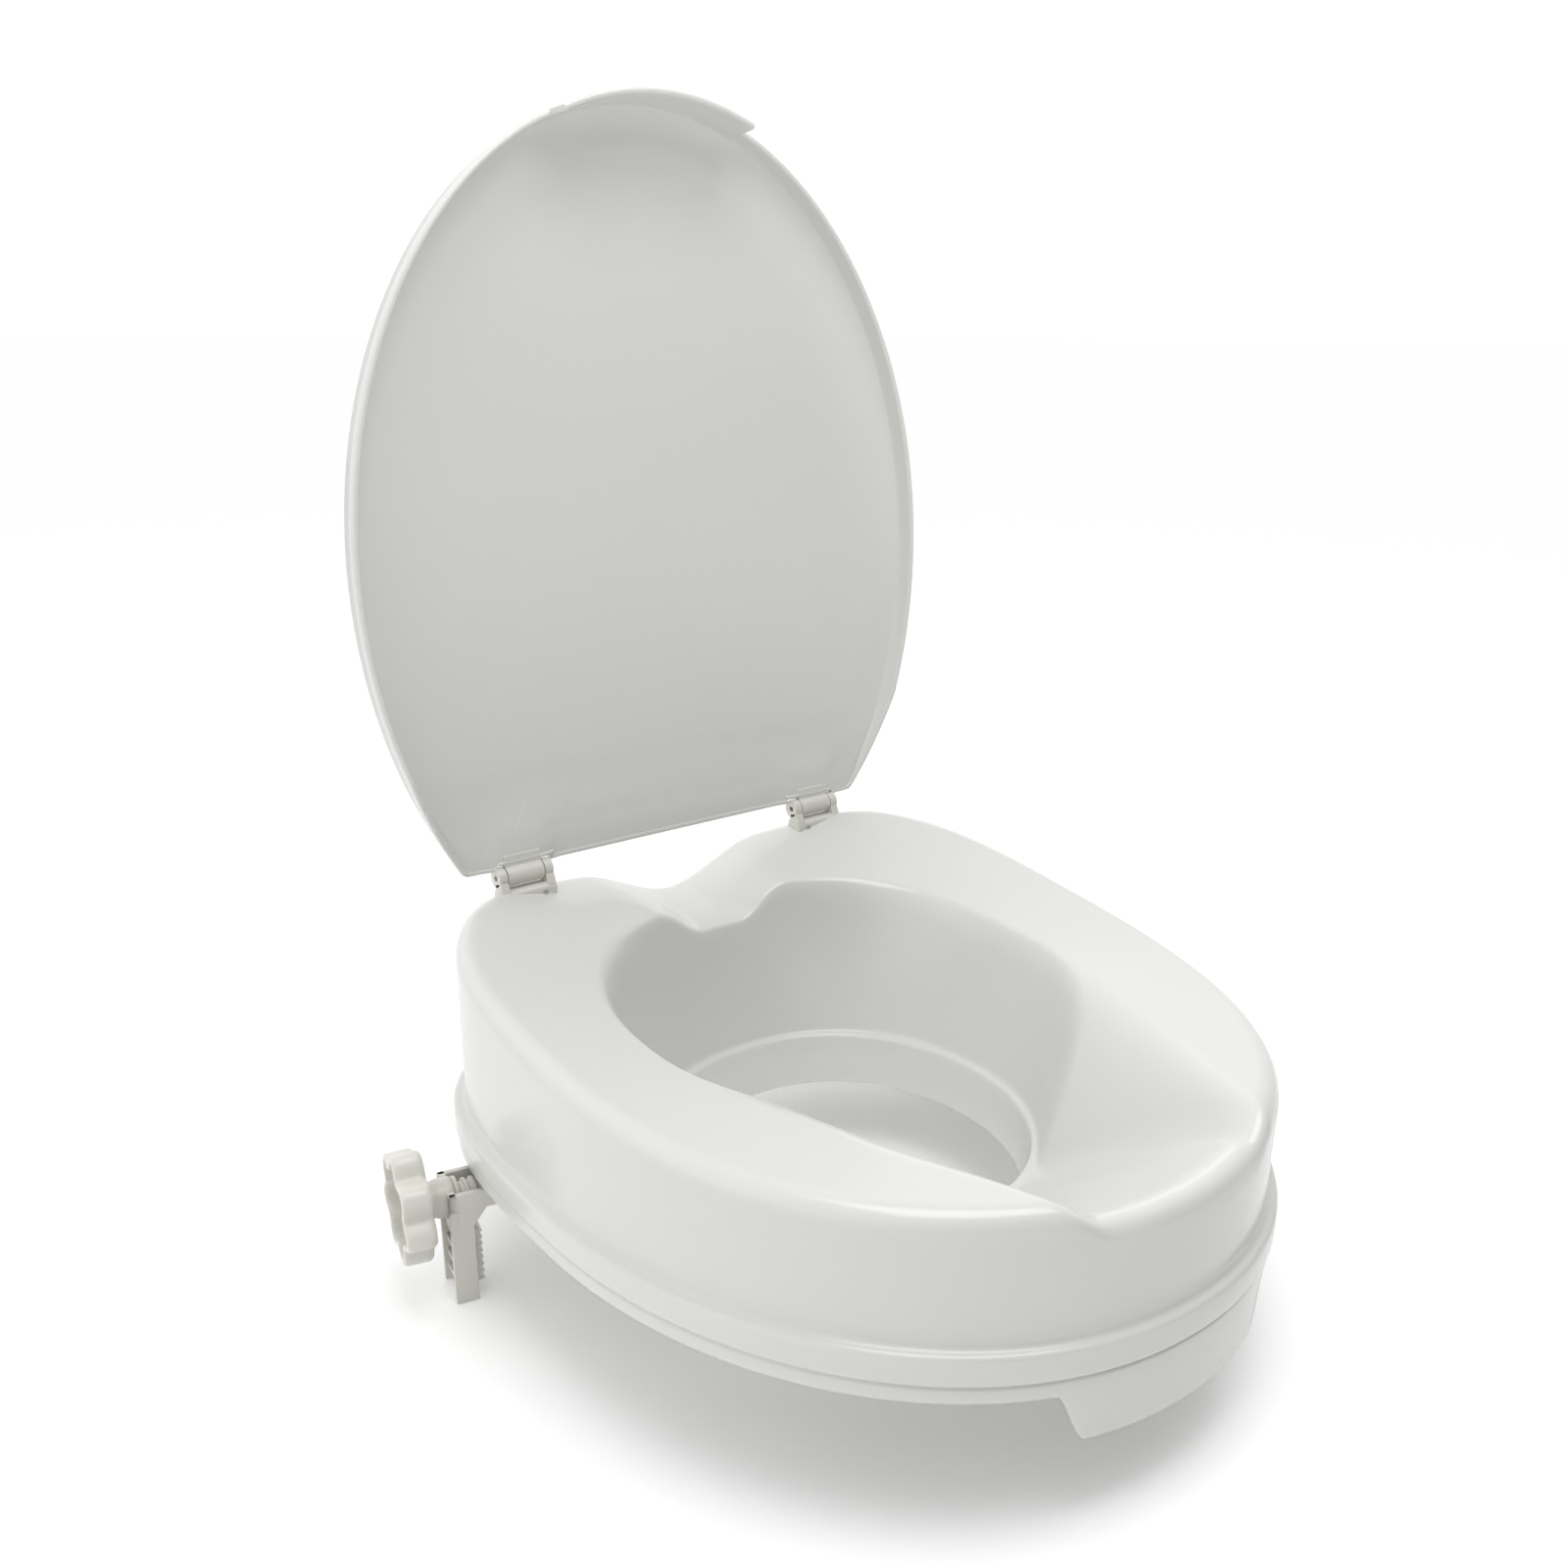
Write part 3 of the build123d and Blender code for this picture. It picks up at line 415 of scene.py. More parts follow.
def standing_box(corners, bottom, sink=1.8, step=3.0):
    """Closed wall under the seat along a closed plan outline, its top hidden in the seat's thickness."""
    outline = []
    for k, corner in enumerate(corners):
        nxt = corners[(k + 1) % len(corners)]
        length = math.dist(corner, nxt)
        for i in range(max(1, int(length / step))):
            t = i / max(1, int(length / step))
            outline.append((corner[0] + (nxt[0] - corner[0]) * t, corner[1] + (nxt[1] - corner[1]) * t))
    low = [Vector((x, y, bottom)) for x, y in outline]
    high = [Vector((x, y, height_at(x, y) - sink)) for x, y in outline]
    points = [point * MM + seat_middle for point in low + high]
    count = len(outline)
    faces = [list(range(count)), list(range(count, 2 * count))]
    for k in range(count):
        nxt = (k + 1) % count
        faces.append([k, nxt, count + nxt, count + k])
    return points, faces


# ---- materials -----------------------------------------------------------------------------------
def plastic(name, light, dark, roughness, coat=0.0, grain=0.00002, mottle=9.0):
    """Moulded plastic: faint cloudy tint, uneven gloss, and a very fine surface grain."""
    material = bpy.data.materials.new(name)
    material.use_nodes = True
    nodes, links = material.node_tree.nodes, material.node_tree.links
    shader = nodes["Principled BSDF"]
    position = nodes.new("ShaderNodeTexCoord")
    cloud = nodes.new("ShaderNodeTexNoise")
    cloud.inputs["Scale"].default_value = mottle
    cloud.inputs["Detail"].default_value = 4.0
    tint = nodes.new("ShaderNodeMix")
    tint.data_type = "RGBA"
    tint.inputs["A"].default_value = (*light, 1)
    tint.inputs["B"].default_value = (*dark, 1)
    gloss = nodes.new("ShaderNodeMapRange")
    gloss.inputs["To Min"].default_value = roughness[0]
    gloss.inputs["To Max"].default_value = roughness[1]
    streak = nodes.new("ShaderNodeTexNoise")
    streak.inputs["Scale"].default_value = 38.0
    streak.inputs["Detail"].default_value = 5.0
    fine = nodes.new("ShaderNodeTexNoise")
    fine.inputs["Scale"].default_value = 900.0
    fine.inputs["Detail"].default_value = 2.0
    bump = nodes.new("ShaderNodeBump")
    bump.inputs["Strength"].default_value = 0.35
    bump.inputs["Distance"].default_value = grain
    for texture in (cloud, streak, fine):
        links.new(position.outputs["Object"], texture.inputs["Vector"])
    links.new(cloud.outputs["Fac"], tint.inputs["Factor"])
    links.new(tint.outputs["Result"], shader.inputs["Base Color"])
    links.new(streak.outputs["Fac"], gloss.inputs["Value"])
    links.new(gloss.outputs["Result"], shader.inputs["Roughness"])
    links.new(fine.outputs["Fac"], bump.inputs["Height"])
    links.new(bump.outputs["Normal"], shader.inputs["Normal"])
    shader.inputs["IOR"].default_value = 1.49
    shader.inputs["Coat Weight"].default_value = coat
    shader.inputs["Coat Roughness"].default_value = 0.12
    return material


def steel(name, light, dark, roughness):
    material = plastic(name, light, dark, roughness, grain=0.00001, mottle=60.0)
    material.node_tree.nodes["Principled BSDF"].inputs["Metallic"].default_value = 1.0
    return material


# ---- lid -----------------------------------------------------------------------------------------
LID_TILT = math.radians(93.5)
LID_HALF_WIDTH = 180.0
LID_WIDEST = 160.0
LID_FRONT = 229.0
LID_BACK = 235.0
LID_EDGE = 3.5              # the back edge's height over the hinge line
NOTCH_HALF = 17.4           # the back edge steps up round each hinge
NOTCH_RISE = 2.9
LID_RIM = 9.3
RIM_TAPER = 62.0
EDGE_ROUND = 1.5
BASE_INSET = 4.6
CORNER_ROUND = 2.5
OUTER_MIDDLE = -12.8        # the outer face's height in the middle, and its fall towards the edge
OUTER_RISE = 9.4
OUTER_REACH = 13.0
DISH_MIDDLE = -9.6          # the same for the inner face
DISH_RISE = 9.1
DISH_REACH = 15.0
DISH_FROM = (12.0, 58.0)    # the inner face is flat below these heights and dished above
LEAF_BACK = -2.0
VISOR_HALF = 57.0
VISOR_DEPTH = 13.0
HINGE_X = 101.2
HINGE_LENGTH = 32.8
SEATING_RISE = 2.6          # raised seating of each hinge plate, which covers its screws
SEATING_X = (12.0, 26.0)
SEATING_V = (13.0, 36.0)
hinge = Vector(joints["lid_hinge"]["pos_m"])
lid_up = Vector((0, -math.cos(LID_TILT), math.sin(LID_TILT)))
lid_face = Vector((0, -math.sin(LID_TILT), -math.cos(LID_TILT)))


def lid_point(x, v, w):
    """Point in the shared frame from millimetres sideways, up the opened lid, and out of its inner face."""
    return hinge + (Vector((x, 0, 0)) + lid_up * v + lid_face * w) * MM


def lid_angles():
    """Angles round the lid, with extra ones at the ends of the front lip and of the hinge notches."""
    angles = [np.linspace(-math.pi, math.pi, 481)[:-1]]
    front = LID_FRONT * math.sqrt(1 - (VISOR_HALF / LID_HALF_WIDTH) ** 2)
    for side in (-1, 1):
        angles.append(np.arctan2(side * (VISOR_HALF + np.linspace(-1.4, 1.4, 15)), front))
        for edge in (HINGE_X - NOTCH_HALF, HINGE_X + NOTCH_HALF):
            angles.append(np.arctan2(side * (edge + np.linspace(-0.6, 0.6, 7)), -(LID_WIDEST - LID_EDGE)))
    return np.unique(np.round(np.concatenate(angles), 6))


def lid_radius(angle):
    """Distance from the lid's middle to its outline."""
    s, c = np.sin(angle), np.cos(angle)
    reach = np.where(c > 0, LID_FRONT, LID_BACK)
    oval = ((s / LID_HALF_WIDTH) ** 2 + (c / reach) ** 2) ** -0.5
    down = np.maximum(-c, 1e-3)
    x = np.abs(s / down) * (LID_WIDEST - LID_EDGE)
    beside = smooth_step(np.abs(x - HINGE_X), NOTCH_HALF - 0.2, NOTCH_HALF + 0.2)
    line = (LID_WIDEST - LID_EDGE - NOTCH_RISE * (1 - beside)) / down
    return smooth_min(oval, line, CORNER_ROUND)


def lid_warp(x, v):
    """Very shallow waves of a moulded panel, which bend its reflections."""
    return 0.55 * np.sin(x / 58 + 0.6) * np.sin(v / 83 + 0.4) + 0.4 * np.sin(x / 101 - v / 77)


def make_lid(material):
    angle = lid_angles()
    outline = lid_radius(angle)
    s, c = np.sin(angle)[:, None], np.cos(angle)[:, None]
    edge_v = LID_WIDEST + outline[:, None] * c
    rise = np.clip(edge_v / RIM_TAPER, 0, 1)
    rim = LEAF_BACK + (LID_RIM - LEAF_BACK) * rise
    visor = (1 - smooth_step(np.abs(outline[:, None] * s), VISOR_HALF - 0.6, VISOR_HALF + 0.6)) * (c > 0)
    rim = rim + VISOR_DEPTH * visor

    def outside(d):
        return OUTER_MIDDLE + OUTER_RISE * np.exp(-d / OUTER_REACH)

    def inside(d, v):
        dish = DISH_MIDDLE + DISH_RISE * np.exp(-np.maximum(d - BASE_INSET + 0.1, 0) / DISH_REACH)
        flat = 1 - smooth_step(v, *DISH_FROM)
        return dish + (LEAF_BACK - dish) * flat

    share = np.linspace(0, 1, 40)[None, :]
    inset_out = (outline[:, None] - 1.0) * (1 - share) ** 1.8 + 1.0 * (1 - (1 - share) ** 1.8)
    w_out = outside(inset_out)
    turn = np.linspace(0, math.pi, 9)[None, :]
    inset_rim = EDGE_ROUND - EDGE_ROUND * np.cos(turn)
    w_base = np.minimum(inside(BASE_INSET, edge_v), rim)
    sunk = np.clip((rim - w_base) / EDGE_ROUND, 0, 1)
    w_rim = rim - EDGE_ROUND * (1 - np.sin(turn)) * np.where(turn > math.pi / 2, sunk, 1)
    drop = np.linspace(0, 1, 8)[None, 1:]
    inset_drop = 2 * EDGE_ROUND + (BASE_INSET - 2 * EDGE_ROUND) * drop ** 1.5
    w_inner = rim - EDGE_ROUND * sunk
    w_drop = w_inner + (w_base - w_inner) * (1 - (1 - drop) ** 1.4)
    share = np.linspace(0, 1, 46)[None, 1:]
    inset_in = BASE_INSET + (outline[:, None] - BASE_INSET - 1.0) * share ** 1.7
    v_in = LID_WIDEST + (outline[:, None] - inset_in) * c
    x_in = (outline[:, None] - inset_in) * s
    w_in = np.minimum(inside(inset_in, v_in), rim)
    fade = smooth_step(inset_in, 10, 60) * smooth_step(v_in, 30, 90)
    w_in = w_in + lid_warp(x_in, v_in) * fade
    edge_insets = np.repeat(np.concatenate([inset_rim, inset_drop], axis=1), len(angle), 0)
    inset = np.concatenate([inset_out, edge_insets, inset_in], axis=1)
    height = np.concatenate([w_out, w_rim, w_drop, w_in], axis=1)
    radius = outline[:, None] - inset
    x, v = radius * s, LID_WIDEST + radius * c
    beside = smooth_step(np.abs(np.abs(x) - HINGE_X), *SEATING_X)
    seating = (1 - beside) * (1 - smooth_step(v, *SEATING_V))
    inner_side = np.arange(height.shape[1]) >= w_out.shape[1]
    height = height + SEATING_RISE * seating * inner_side[None, :]
    rows, columns = x.shape
    points = [lid_point(x[i, j], v[i, j], height[i, j]) for i in range(rows) for j in range(columns)]
    faces = loop_faces(rows, columns, close_columns=False)
    faces.append([i * columns for i in range(rows)])
    faces.append([i * columns + columns - 1 for i in range(rows)])
    piece = mesh_object("lid_panel", points, faces, material)
    return place(piece, "lid", ["lid"])


# ---- prisms and other small solids ---------------------------------------------------------------
BEVEL_ANGLE = 35
PART_BEVEL = 0.5


def prism(outline, origin, across, up, along, length):
    """Closed solid from a flat outline in millimetres, drawn along a direction: points and faces."""
    points = []
    for offset in (0.0, length):
        for a, b in outline:
            points.append(origin + (across * a + up * b + along * offset) * MM)
    count = len(outline)
    faces = [list(range(count)), list(reversed(range(count, 2 * count)))]
    for k in range(count):
        nxt = (k + 1) % count
        faces.append([k, nxt, count + nxt, count + k])
    return points, faces


def rectangle(a_low, a_high, b_low, b_high):
    return [(a_low, b_low), (a_high, b_low), (a_high, b_high), (a_low, b_high)]


def arc(middle, radius, start, end, steps):
    """Points of an arc in degrees, ends included."""
    turns = np.radians(np.linspace(start, end, steps))
    return [(middle[0] + radius * math.cos(t), middle[1] + radius * math.sin(t)) for t in turns]


def lathe(profile, origin, axis, side_dir, steps=72, shape=None, open_ends=False):
    """Solid turned about an axis from (distance along, radius) points; shape scales the radius by angle."""
    third = axis.cross(side_dir)
    rows = len(profile)
    points, faces = [], []
    for along, radius in profile:
        for k in range(steps):
            turn = 2 * math.pi * k / steps
            reach = radius * (shape(turn, along, radius) if shape else 1.0)
            spoke = side_dir * math.cos(turn) + third * math.sin(turn)
            points.append(origin + (axis * along + spoke * reach) * MM)
    faces = loop_faces(rows, steps, close_rows=False)
    if not open_ends:
        faces.append(list(range(steps)))
        faces.append([(rows - 1) * steps + k for k in range(steps)])
    return points, faces


def solid_piece(name, solids, material, body, replaced=(), bevel=0.0):
    """One piece from several closed solids, with its sharp edges rounded when a bevel width is given."""
    points, faces = [], []
    for more_points, more_faces in solids:
        base = len(points)
        points += more_points
        faces += [[base + k for k in face] for face in more_faces]
    piece = mesh_object(name, points, faces, material)
    if bevel:
        rounding = piece.modifiers.new("bevel", "BEVEL")
        rounding.width = bevel * MM
        rounding.segments = 3
        rounding.limit_method = "ANGLE"
        rounding.angle_limit = math.radians(BEVEL_ANGLE)
    normals = piece.modifiers.new("normals", "WEIGHTED_NORMAL")
    normals.keep_sharp = True
    return place(piece, body, replaced)


# ---- hinges --------------------------------------------------------------------------------------
KNUCKLE_R = 5.6
END_KNUCKLE = 5.0
PIN_R = 1.65
LEAF_LENGTH = 22.0
LEAF_TOP = 12.0
LEAF_T = 3.5
KNUCKLE_GAP = 0.4
KNUCKLE_STEPS = 56
FOOT_FRONT = -8.5
X_AXIS, Y_AXIS, Z_AXIS = Vector((1, 0, 0)), Vector((0, 1, 0)), Vector((0, 0, 1))


def knuckle(x, length):
    """Barrel with a pin bore and rounded ends, along X from x."""
    r, round_by = KNUCKLE_R, 0.7
    profile = [(0.0, PIN_R), (0.0, r - round_by)]
    for t in (0.5, 1.0, 1.57):
        profile.append((round_by - round_by * math.cos(t), r - round_by + round_by * math.sin(t)))
    profile += [(length - p, q) for p, q in reversed(profile)]
    steps = KNUCKLE_STEPS
    points, faces = lathe(profile, hinge + X_AXIS * x * MM, X_AXIS, Y_AXIS, steps, open_ends=True)
    last = (len(profile) - 1) * steps
    for k in range(steps):
        nxt = (k + 1) % steps
        faces.append([k, nxt, last + nxt, last + k])
    return points, faces


def make_hinges(material):
    for hand, side in HANDS.items():
        start = side * HINGE_X - HINGE_LENGTH / 2
        origin = hinge + X_AXIS * start * MM
        middle_y, lift = (hinge.y - seat_middle.y) / MM, (seat_middle.z - hinge.z) / MM
        under = [(y, height_at(side * HINGE_X, middle_y + y) + lift - 4) for y in (3, 0, -6, FOOT_FRONT)]
        foot = [(FOOT_FRONT, -9.0), (-7.6, -7.4), (-6, -6.6), (0.5, -6.4), (2.5, -7.6)] + under
        solids = [prism(foot, origin, Y_AXIS, Z_AXIS, X_AXIS, HINGE_LENGTH)]
        for offset in (0.0, HINGE_LENGTH - END_KNUCKLE):
            solids.append(knuckle(start + offset, END_KNUCKLE))
            web = [(-8, -7.5), (-5.2, -1.5), (0, -3), (1.6, -7.5)]
            solids.append(prism(web, origin + X_AXIS * offset * MM, Y_AXIS, Z_AXIS, X_AXIS, END_KNUCKLE))
        solid_piece("hinge_foot_" + hand, solids, material, "seat", ["hinge_block_" + hand],
                    bevel=PART_BEVEL)
        leaf_x = start + END_KNUCKLE + KNUCKLE_GAP
        top = LEAF_BACK + LEAF_T
        plate = [(-1.5, LEAF_BACK), (LEAF_TOP, LEAF_BACK), (LEAF_TOP, top - 0.6), (LEAF_TOP - 1.2, top),
                 (-1.5, top)]
        solids = [
            prism(plate, hinge + X_AXIS * leaf_x * MM, lid_up, lid_face, X_AXIS, LEAF_LENGTH),
            knuckle(leaf_x, LEAF_LENGTH),
        ]
        solid_piece("hinge_plate_" + hand, solids, material, "lid", ["hinge_leaf_" + hand],
                    bevel=PART_BEVEL)


# ---- clamps --------------------------------------------------------------------------------------
RAIL_LENGTH = 92.0
RAIL_T = 3.0
TRAY_HALF = 13.0
RAIL_TOP = 7.0              # heights in this section are from the screw's axis
RAIL_BOTTOM = -3.0
END_BAR = 4.0
CRADLE_DEPTH = 19.0
LEG_LENGTH = 12.0
LEG_INSET = 0.25
LEG_WEB = 2.5
LEG_RIBS = (-20, -29, -38, -47)
SCREW_R = 7.6
THREAD_DEPTH = 1.5
THREAD_START = 7.0
THREAD_END = 87.4
THREAD_STEPS = 64
THREAD_ROW = 0.25
LEAD = 4.0
NECK_R = 10.0
KNOB_LOBES = 7
KNOB_STEPS = 196
LOBE_DEPTH = 0.092
LOBES_FROM = 15.0           # the lobes grow between these radii
LOBES_FULL = 17.0
TEETH = 8
TEETH_HALF = 9.0
TOOTH_PITCH = 4.0
TOOTH_DEPTH = 3.0


def clamp_axes(hand):
    """Origin on the screw's axis at the end plate, the inward direction, and the level one across it."""
    joint = joints[f"knob_{hand}_turn"]
    inward = Vector(joint["axis"]).normalized()
    return Vector(joint["pos_m"]), inward, Z_AXIS.cross(inward)


def make_bracket(hand, material):
    origin, inward, across = clamp_axes(hand)
    axis_z = origin.z / MM
    solids = []
    for q in (-TRAY_HALF, TRAY_HALF - RAIL_T):
        rail = rectangle(0, RAIL_LENGTH, RAIL_BOTTOM, RAIL_TOP)
        solids.append(prism(rail, origin + across * q * MM, inward, Z_AXIS, across, RAIL_T))
        leg = [(0.01, RAIL_BOTTOM + 1), (0.01, -axis_z), (LEG_LENGTH, -axis_z), (LEG_LENGTH, RAIL_BOTTOM - 9),
               (LEG_LENGTH + 7, RAIL_BOTTOM), (LEG_LENGTH + 7, RAIL_BOTTOM + 1)]
        leg_origin = origin + across * (q + LEG_INSET) * MM
        solids.append(prism(leg, leg_origin, inward, Z_AXIS, across, RAIL_T - 2 * LEG_INSET))
    notch = NECK_R + 0.4
    cradle_low = RAIL_TOP - CRADLE_DEPTH
    rest = [(-TRAY_HALF, RAIL_TOP), (-TRAY_HALF, cradle_low), (TRAY_HALF, cradle_low), (TRAY_HALF, RAIL_TOP)]
    low = -math.degrees(math.asin(-RAIL_TOP / notch))
    cradle = rest + arc((0, 0), notch, low, -180 - low, 28)
    solids.append(prism(cradle, origin, across, Z_AXIS, inward, END_BAR))
    bar = rectangle(-TRAY_HALF, TRAY_HALF, RAIL_BOTTOM, RAIL_TOP)
    solids.append(prism(bar, origin + inward * (RAIL_LENGTH - END_BAR) * MM, across, Z_AXIS, inward, END_BAR))
    web = rectangle(1 - TRAY_HALF, TRAY_HALF - 1, -11, 2 - axis_z)
    solids.append(prism(web, origin + inward * (LEG_LENGTH - LEG_WEB) * MM, across, Z_AXIS, inward, LEG_WEB))
    for height in LEG_RIBS:
        rib = rectangle(2, LEG_LENGTH - 2, height - 0.9, height + 0.9)
        solids.append(prism(rib, origin - across * 10.5 * MM, inward, Z_AXIS, across, 21.0))
    body = "clamp_" + hand
    solid_piece("clamp_frame_" + hand, solids, material, body, ["bracket_" + hand], bevel=PART_BEVEL)
    top = RAIL_TOP - 23
    saw = [(LEG_LENGTH - 0.5, top)]
    for k in range(TEETH):
        height = top - k * TOOTH_PITCH
        saw.append((LEG_LENGTH + 1.5, height))
        saw.append((LEG_LENGTH + 1.5 + TOOTH_DEPTH, height - 0.7 * TOOTH_PITCH))
    saw.append((LEG_LENGTH + 1.5, top - TEETH * TOOTH_PITCH))
    saw.append((LEG_LENGTH - 0.5, top - TEETH * TOOTH_PITCH))
    teeth = prism(saw, origin - across * TEETH_HALF * MM, inward, Z_AXIS, across, 2 * TEETH_HALF)
    solid_piece("grip_teeth_" + hand, [teeth], material, body, ["jaw_teeth_" + hand], bevel=0.35)


def make_screw(hand, material):
    """Clamp screw with a real helical thread."""
    origin, inward, across = clamp_axes(hand)
    rows = int((THREAD_END - THREAD_START) / THREAD_ROW) + 1
    root = SCREW_R - THREAD_DEPTH
    collar = [(5.0, 2.0), (5.0, 9.4), (6.6, 9.4), (THREAD_START, 9.0), (THREAD_START, root)]
    tang = [(THREAD_END, 4.0), (92.4, 4.0), (92.4, 6.6), (92.8, 7.0), (94.6, 7.0), (95.0, 6.6), (95.0, 2.0)]
    run = THREAD_END - THREAD_START
    threaded = [(THREAD_START + run * i / (rows - 1), root) for i in range(1, rows)]

    def thread(turn, along, radius):
        """Radius of the helical crest over the root, faded at both ends of the thread."""
        if not THREAD_START < along < THREAD_END:
            return 1.0
        ends = min(1.0, (along - THREAD_START) / 2.5, (THREAD_END - along) / 2.0)
        phase = (along / LEAD - turn / (2 * math.pi)) % 1.0
        ridge = min(max((0.31 - abs(phase - 0.5)) / 0.16, 0.0), 1.0)
        return 1.0 + THREAD_DEPTH / radius * ridge * ridge * (3 - 2 * ridge) * ends

    points, faces = lathe(collar + threaded + tang, origin, inward, across, THREAD_STEPS, thread)
    piece = mesh_object("thread_" + hand, points, faces, material)
    return place(piece, "knob_" + hand, ["clamp_screw_" + hand])


def make_knob(hand, material):
    """Lobed cup, open outwards, on a stout rounded neck."""
    origin, inward, across = clamp_axes(hand)

    def lobes(turn, along, radius):
        grown = min(max((radius - LOBES_FROM) / (LOBES_FULL - LOBES_FROM), 0.0), 1.0)
        wave = math.cos(KNOB_LOBES * (turn - math.pi / 2))
        return 1.0 + LOBE_DEPTH * grown * (wave - 0.22 * (1 - wave) ** 2 + 0.1)

    hollow = [(-11.6, 0.6), (-12.5, 4.0), (-12.5, 14.0), (-12.7, 19.0), (-13.6, 21.4), (-15.5, 22.3)]
    mouth = [(-23.6, 22.9), (-24.2, 23.3), (-24.5, 24.0), (-24.4, 25.0), (-23.9, 25.9), (-23.0, 26.3)]
    back = [(-12.0, 26.6), (-10.6, 26.1), (-9.5, 24.9), (-9.1, 23.0), (-9.0, 14.5), (-8.9, 11.2), (-8.2, 9.9)]
    neck = [(-7.0, 9.3), (-5.6, 9.3), (-4.4, 9.7), (-3.2, NECK_R), (3.2, NECK_R), (4.3, 9.4), (4.8, 8.4),
            (4.9, 6.0), (4.9, 0.6)]
    profile = hollow + mouth + back + neck
    fine = []
    for (a0, r0), (a1, r1) in zip(profile, profile[1:]):
        pieces = max(1, int(math.hypot(a1 - a0, r1 - r0) / 1.6))
        fine += [(a0 + (a1 - a0) * k / pieces, r0 + (r1 - r0) * k / pieces) for k in range(pieces)]
    fine.append(profile[-1])
    points, faces = lathe(fine, origin, inward, across, KNOB_STEPS, lobes)
    piece = mesh_object("knob_cup_" + hand, points, faces, material)
    return place(piece, "knob_" + hand, ["knob_" + hand])


def plan_box(hand, p_low, p_high, q_low, q_high):
    """Corners of a rectangle along one clamp, in millimetres from the seat's middle."""
    origin, inward, across = clamp_axes(hand)
    corners = []
    for p, q in ((p_low, q_low), (p_high, q_low), (p_high, q_high), (p_low, q_high)):
        point = (origin - seat_middle) / MM + inward * p + across * q
        corners.append((point.x, point.y))
    return corners


# Under-seat boxes: reach along the clamp, half width across it, wall thickness and floor.
BOX_NEAR, BOX_FAR, BOX_HALF = 40.0, 70.0, 16.8
BOX_WALL = 2.4
BOX_FLOOR = 3.0
PAD_HALF_X, PAD_HALF_Y = 16.4, 7.0


def make_pedestals(material):
    """Walls under the seat that carry the guides, and the pads that take the hinge screws."""
    for hand, side in HANDS.items():
        solids = []
        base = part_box("guide_" + hand)[1].z / MM - seat_middle.z / MM
        near, far, half = BOX_NEAR, BOX_FAR, BOX_HALF
        walls = ((near, far, -half, BOX_WALL - half), (near, far, half - BOX_WALL, half),
                 (near, near + BOX_WALL, -15, 15), (far - BOX_WALL, far, -15, 15))
        for wall in walls:
            solids.append(standing_box(plan_box(hand, *wall), base))
        plate = plan_box(hand, near + 0.2, far - 0.2, 0.2 - half, half - 0.2)
        corners = [Vector((x, y, base + rise)) for rise in (0, BOX_FLOOR) for x, y in plate]
        points = [corner * MM + seat_middle for corner in corners]
        sides = [(0, 1, 5, 4), (1, 2, 6, 5), (2, 3, 7, 6), (3, 0, 4, 7)]
        solids.append((points, [(0, 1, 2, 3), (4, 5, 6, 7)] + sides))
        pad_y = (hinge.y - seat_middle.y) / MM - 8
        x = side * HINGE_X
        pad = rectangle(x - PAD_HALF_X, x + PAD_HALF_X, pad_y - PAD_HALF_Y, pad_y + PAD_HALF_Y)
        screw_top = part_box("hinge_screws_" + hand)[0].z / MM + 2 - seat_middle.z / MM
        solids.append(standing_box(pad, screw_top))
        solid_piece("pedestal_" + hand, solids, material, "seat")


white = plastic("white_gloss", (0.655, 0.66, 0.635), (0.635, 0.64, 0.615), (0.16, 0.24))
warm = plastic("white_satin", (0.67, 0.66, 0.61), (0.645, 0.635, 0.585), (0.30, 0.42), coat=0.1)
pin_steel = steel("pin_steel", (0.10, 0.10, 0.10), (0.05, 0.05, 0.05), (0.4, 0.6))
screw_steel = steel("screw_steel", (0.55, 0.55, 0.55), (0.42, 0.42, 0.42), (0.25, 0.45))

make_seat(white)
make_ribs(white)
make_pedestals(white)
make_lid(white)
make_hinges(warm)
for hand in HANDS:
    make_bracket(hand, warm)
    make_screw(hand, warm)
    make_knob(hand, warm)
kept_nodes = {
    "hinge_pin_": pin_steel,
    "hinge_screws_": screw_steel,
    "leaf_screws_": screw_steel,
    "guide_screws_": screw_steel,
    "guide_": warm,
    "nut_": warm,
}
for prefix, material in kept_nodes.items():
    for hand in HANDS:
        node = frame["nodes"][prefix + hand]
        node.data.materials.clear()
        node.data.materials.append(material)


# ---- camera, floor and light ---------------------------------------------------------------------
EYE = Vector((-449.50, -494.62, 467.56)) * MM
RIGHT = Vector((0.7940981, -0.60776112, 0.00588495))
UP = Vector((0.20512888, 0.27710982, 0.93868647))
BACK = Vector((-0.57212792, -0.74420196, 0.34472174))
camera_data = bpy.data.cameras.new("camera")
camera_data.sensor_width = 36       # millimetres
camera_data.lens = 33.52
camera_data.shift_x = 0.0122
camera_data.shift_y = 0.0491
camera = bpy.data.objects.new("camera", camera_data)
camera.matrix_world = Matrix((
    (RIGHT.x, UP.x, BACK.x, EYE.x),
    (RIGHT.y, UP.y, BACK.y, EYE.y),
    (RIGHT.z, UP.z, BACK.z, EYE.z),
    (0, 0, 0, 1),
))
bpy.context.scene.collection.objects.link(camera)
bpy.context.scene.camera = camera

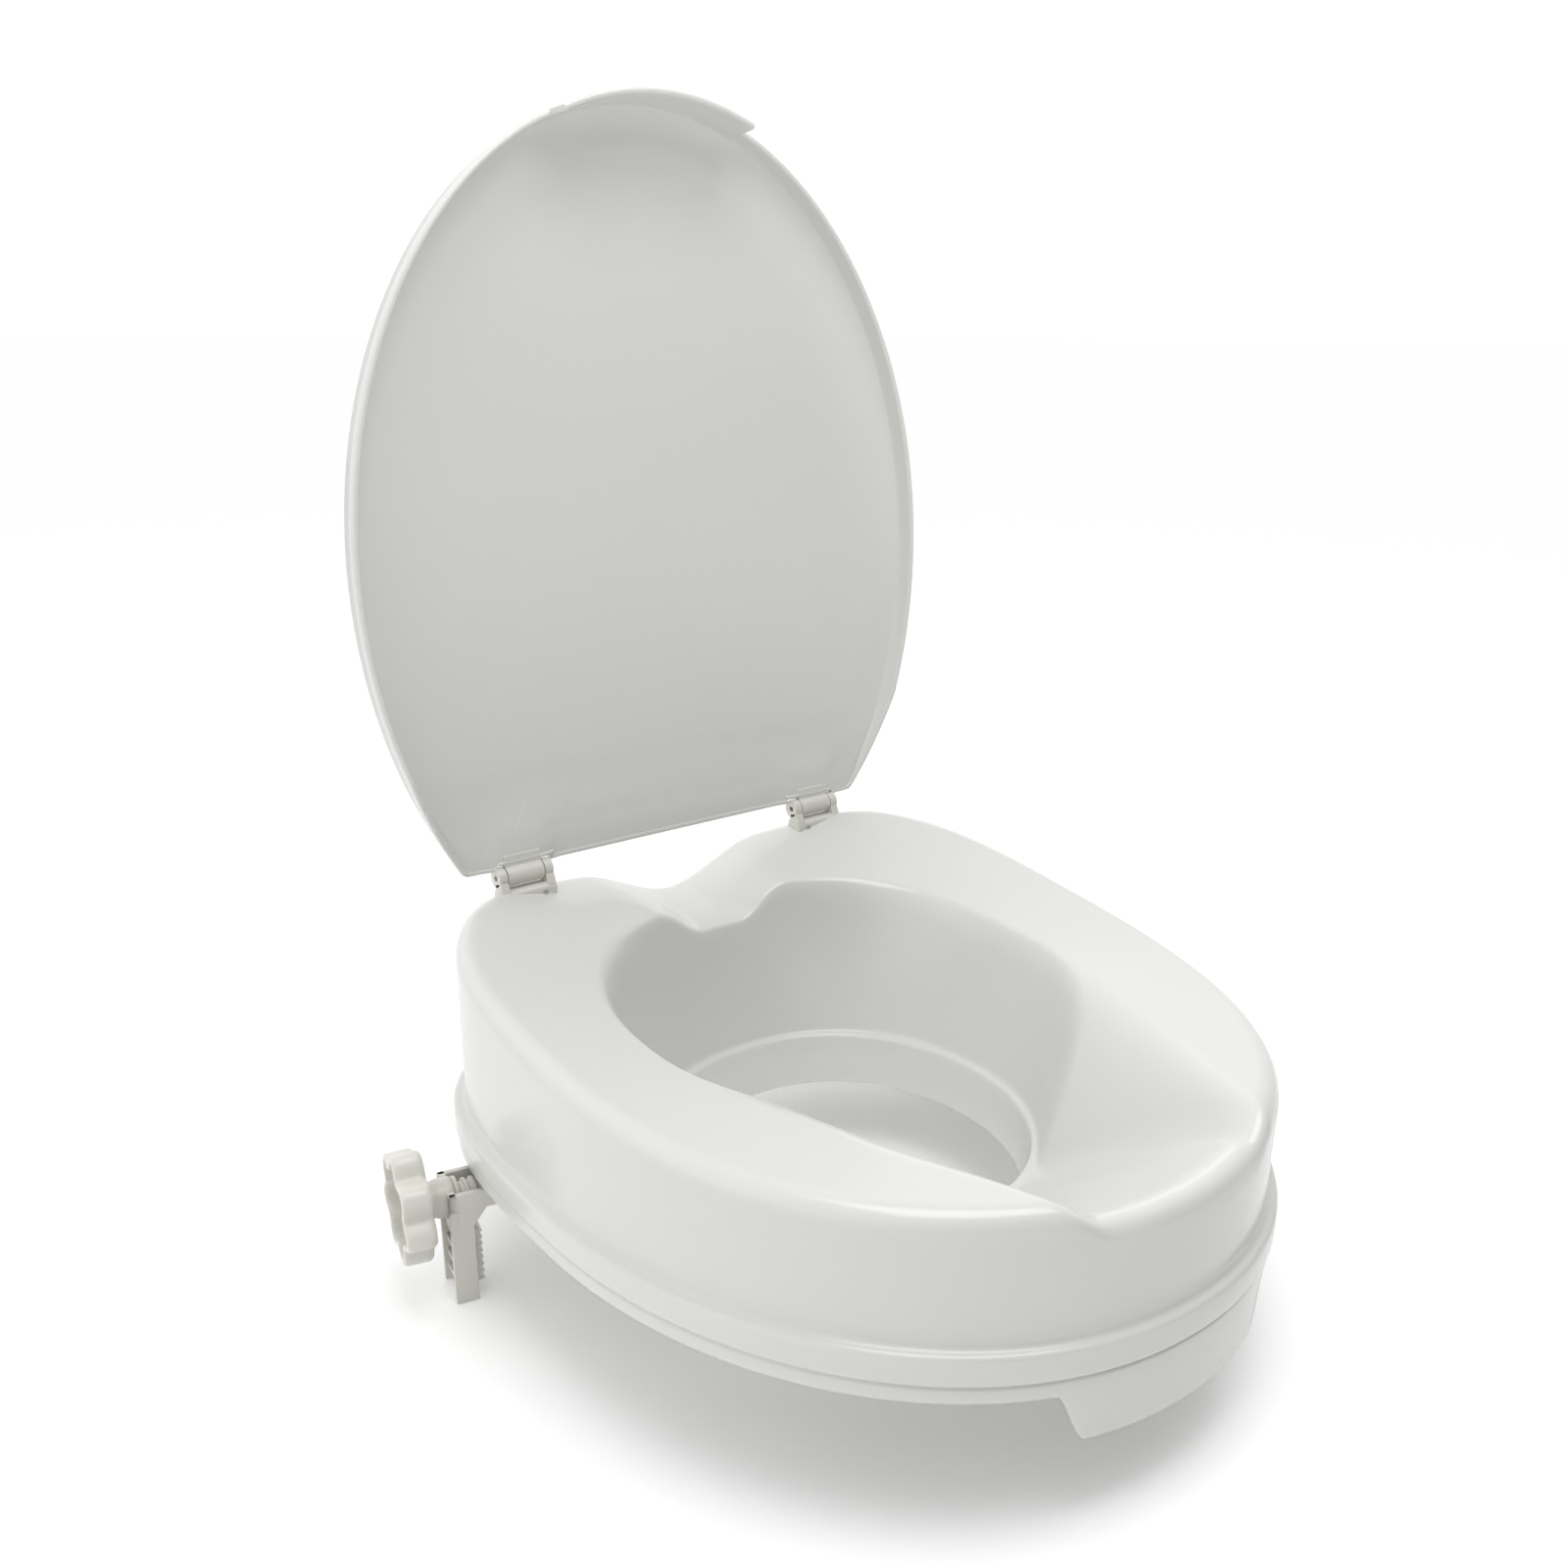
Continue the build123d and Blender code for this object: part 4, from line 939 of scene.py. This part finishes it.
FLOOR_HALF = 40.0
FLOOR_GAP = 0.0005
floor_material = bpy.data.materials.new("floor_white")
floor_material.use_nodes = True
floor_shader = floor_material.node_tree.nodes["Principled BSDF"]
floor_shader.inputs["Base Color"].default_value = (0.96, 0.96, 0.96, 1)
floor_shader.inputs["Roughness"].default_value = 1.0
floor_shader.inputs["Specular IOR Level"].default_value = 0.0
floor_shader.inputs["Emission Color"].default_value = (1, 1, 1, 1)
floor_shader.inputs["Emission Strength"].default_value = 0.12
corners = [(x, y, 0) for x, y in rectangle(-FLOOR_HALF, FLOOR_HALF, -FLOOR_HALF, FLOOR_HALF)]
floor = mesh_object("floor", corners, [(0, 1, 2, 3)], floor_material)
floor.location.z = cad_low.z - FLOOR_GAP

# Studio surround: white behind and above, falling to black low in front, which shades the front wall.
DARK_SIDE = Vector((0.25, -0.95, -0.15))
BRIGHT, DARK = 1.14, 0.0
BRIGHT_BELOW, DARK_ABOVE = 0.05, 0.72      # cosines of the angle from the dark side
world = bpy.data.worlds.new("studio")
bpy.context.scene.world = world
world.use_nodes = True
world_nodes, world_links = world.node_tree.nodes, world.node_tree.links
heading = world_nodes.new("ShaderNodeTexCoord")
facing = world_nodes.new("ShaderNodeVectorMath")
facing.operation = "DOT_PRODUCT"
facing.inputs[1].default_value = DARK_SIDE.normalized()
level = world_nodes.new("ShaderNodeMapRange")
level.interpolation_type = "SMOOTHSTEP"
level.inputs["From Min"].default_value = BRIGHT_BELOW
level.inputs["From Max"].default_value = DARK_ABOVE
level.inputs["To Min"].default_value = BRIGHT
level.inputs["To Max"].default_value = DARK
world_links.new(heading.outputs["Generated"], facing.inputs[0])
world_links.new(facing.outputs["Value"], level.inputs["Value"])
world_links.new(level.outputs["Result"], world_nodes["Background"].inputs["Strength"])
world_nodes["Background"].inputs["Color"].default_value = (1, 1, 1, 1)
bpy.context.scene.view_settings.view_transform = "Standard"


def softbox(name, position, aim, size, power):
    data = bpy.data.lights.new(name, "AREA")
    data.shape = "RECTANGLE"
    data.size, data.size_y = size
    data.energy = power
    light = bpy.data.objects.new(name, data)
    light.location = position
    light.rotation_euler = (Vector(aim) - Vector(position)).to_track_quat("-Z", "Y").to_euler()
    bpy.context.scene.collection.objects.link(light)


softbox("key_left", (-1.7, 0.2, 1.2), (0, 0, 0.2), (0.9, 0.9), 1.0)
softbox("window_back", (1.29, 1.04, 0.73), (0.17, 0.05, 0.15), (0.30, 0.30), 0.25)
softbox("over_seat", (-0.05, -0.25, 1.1), (0, 0.1, 0.3), (0.7, 0.5), 4.5)
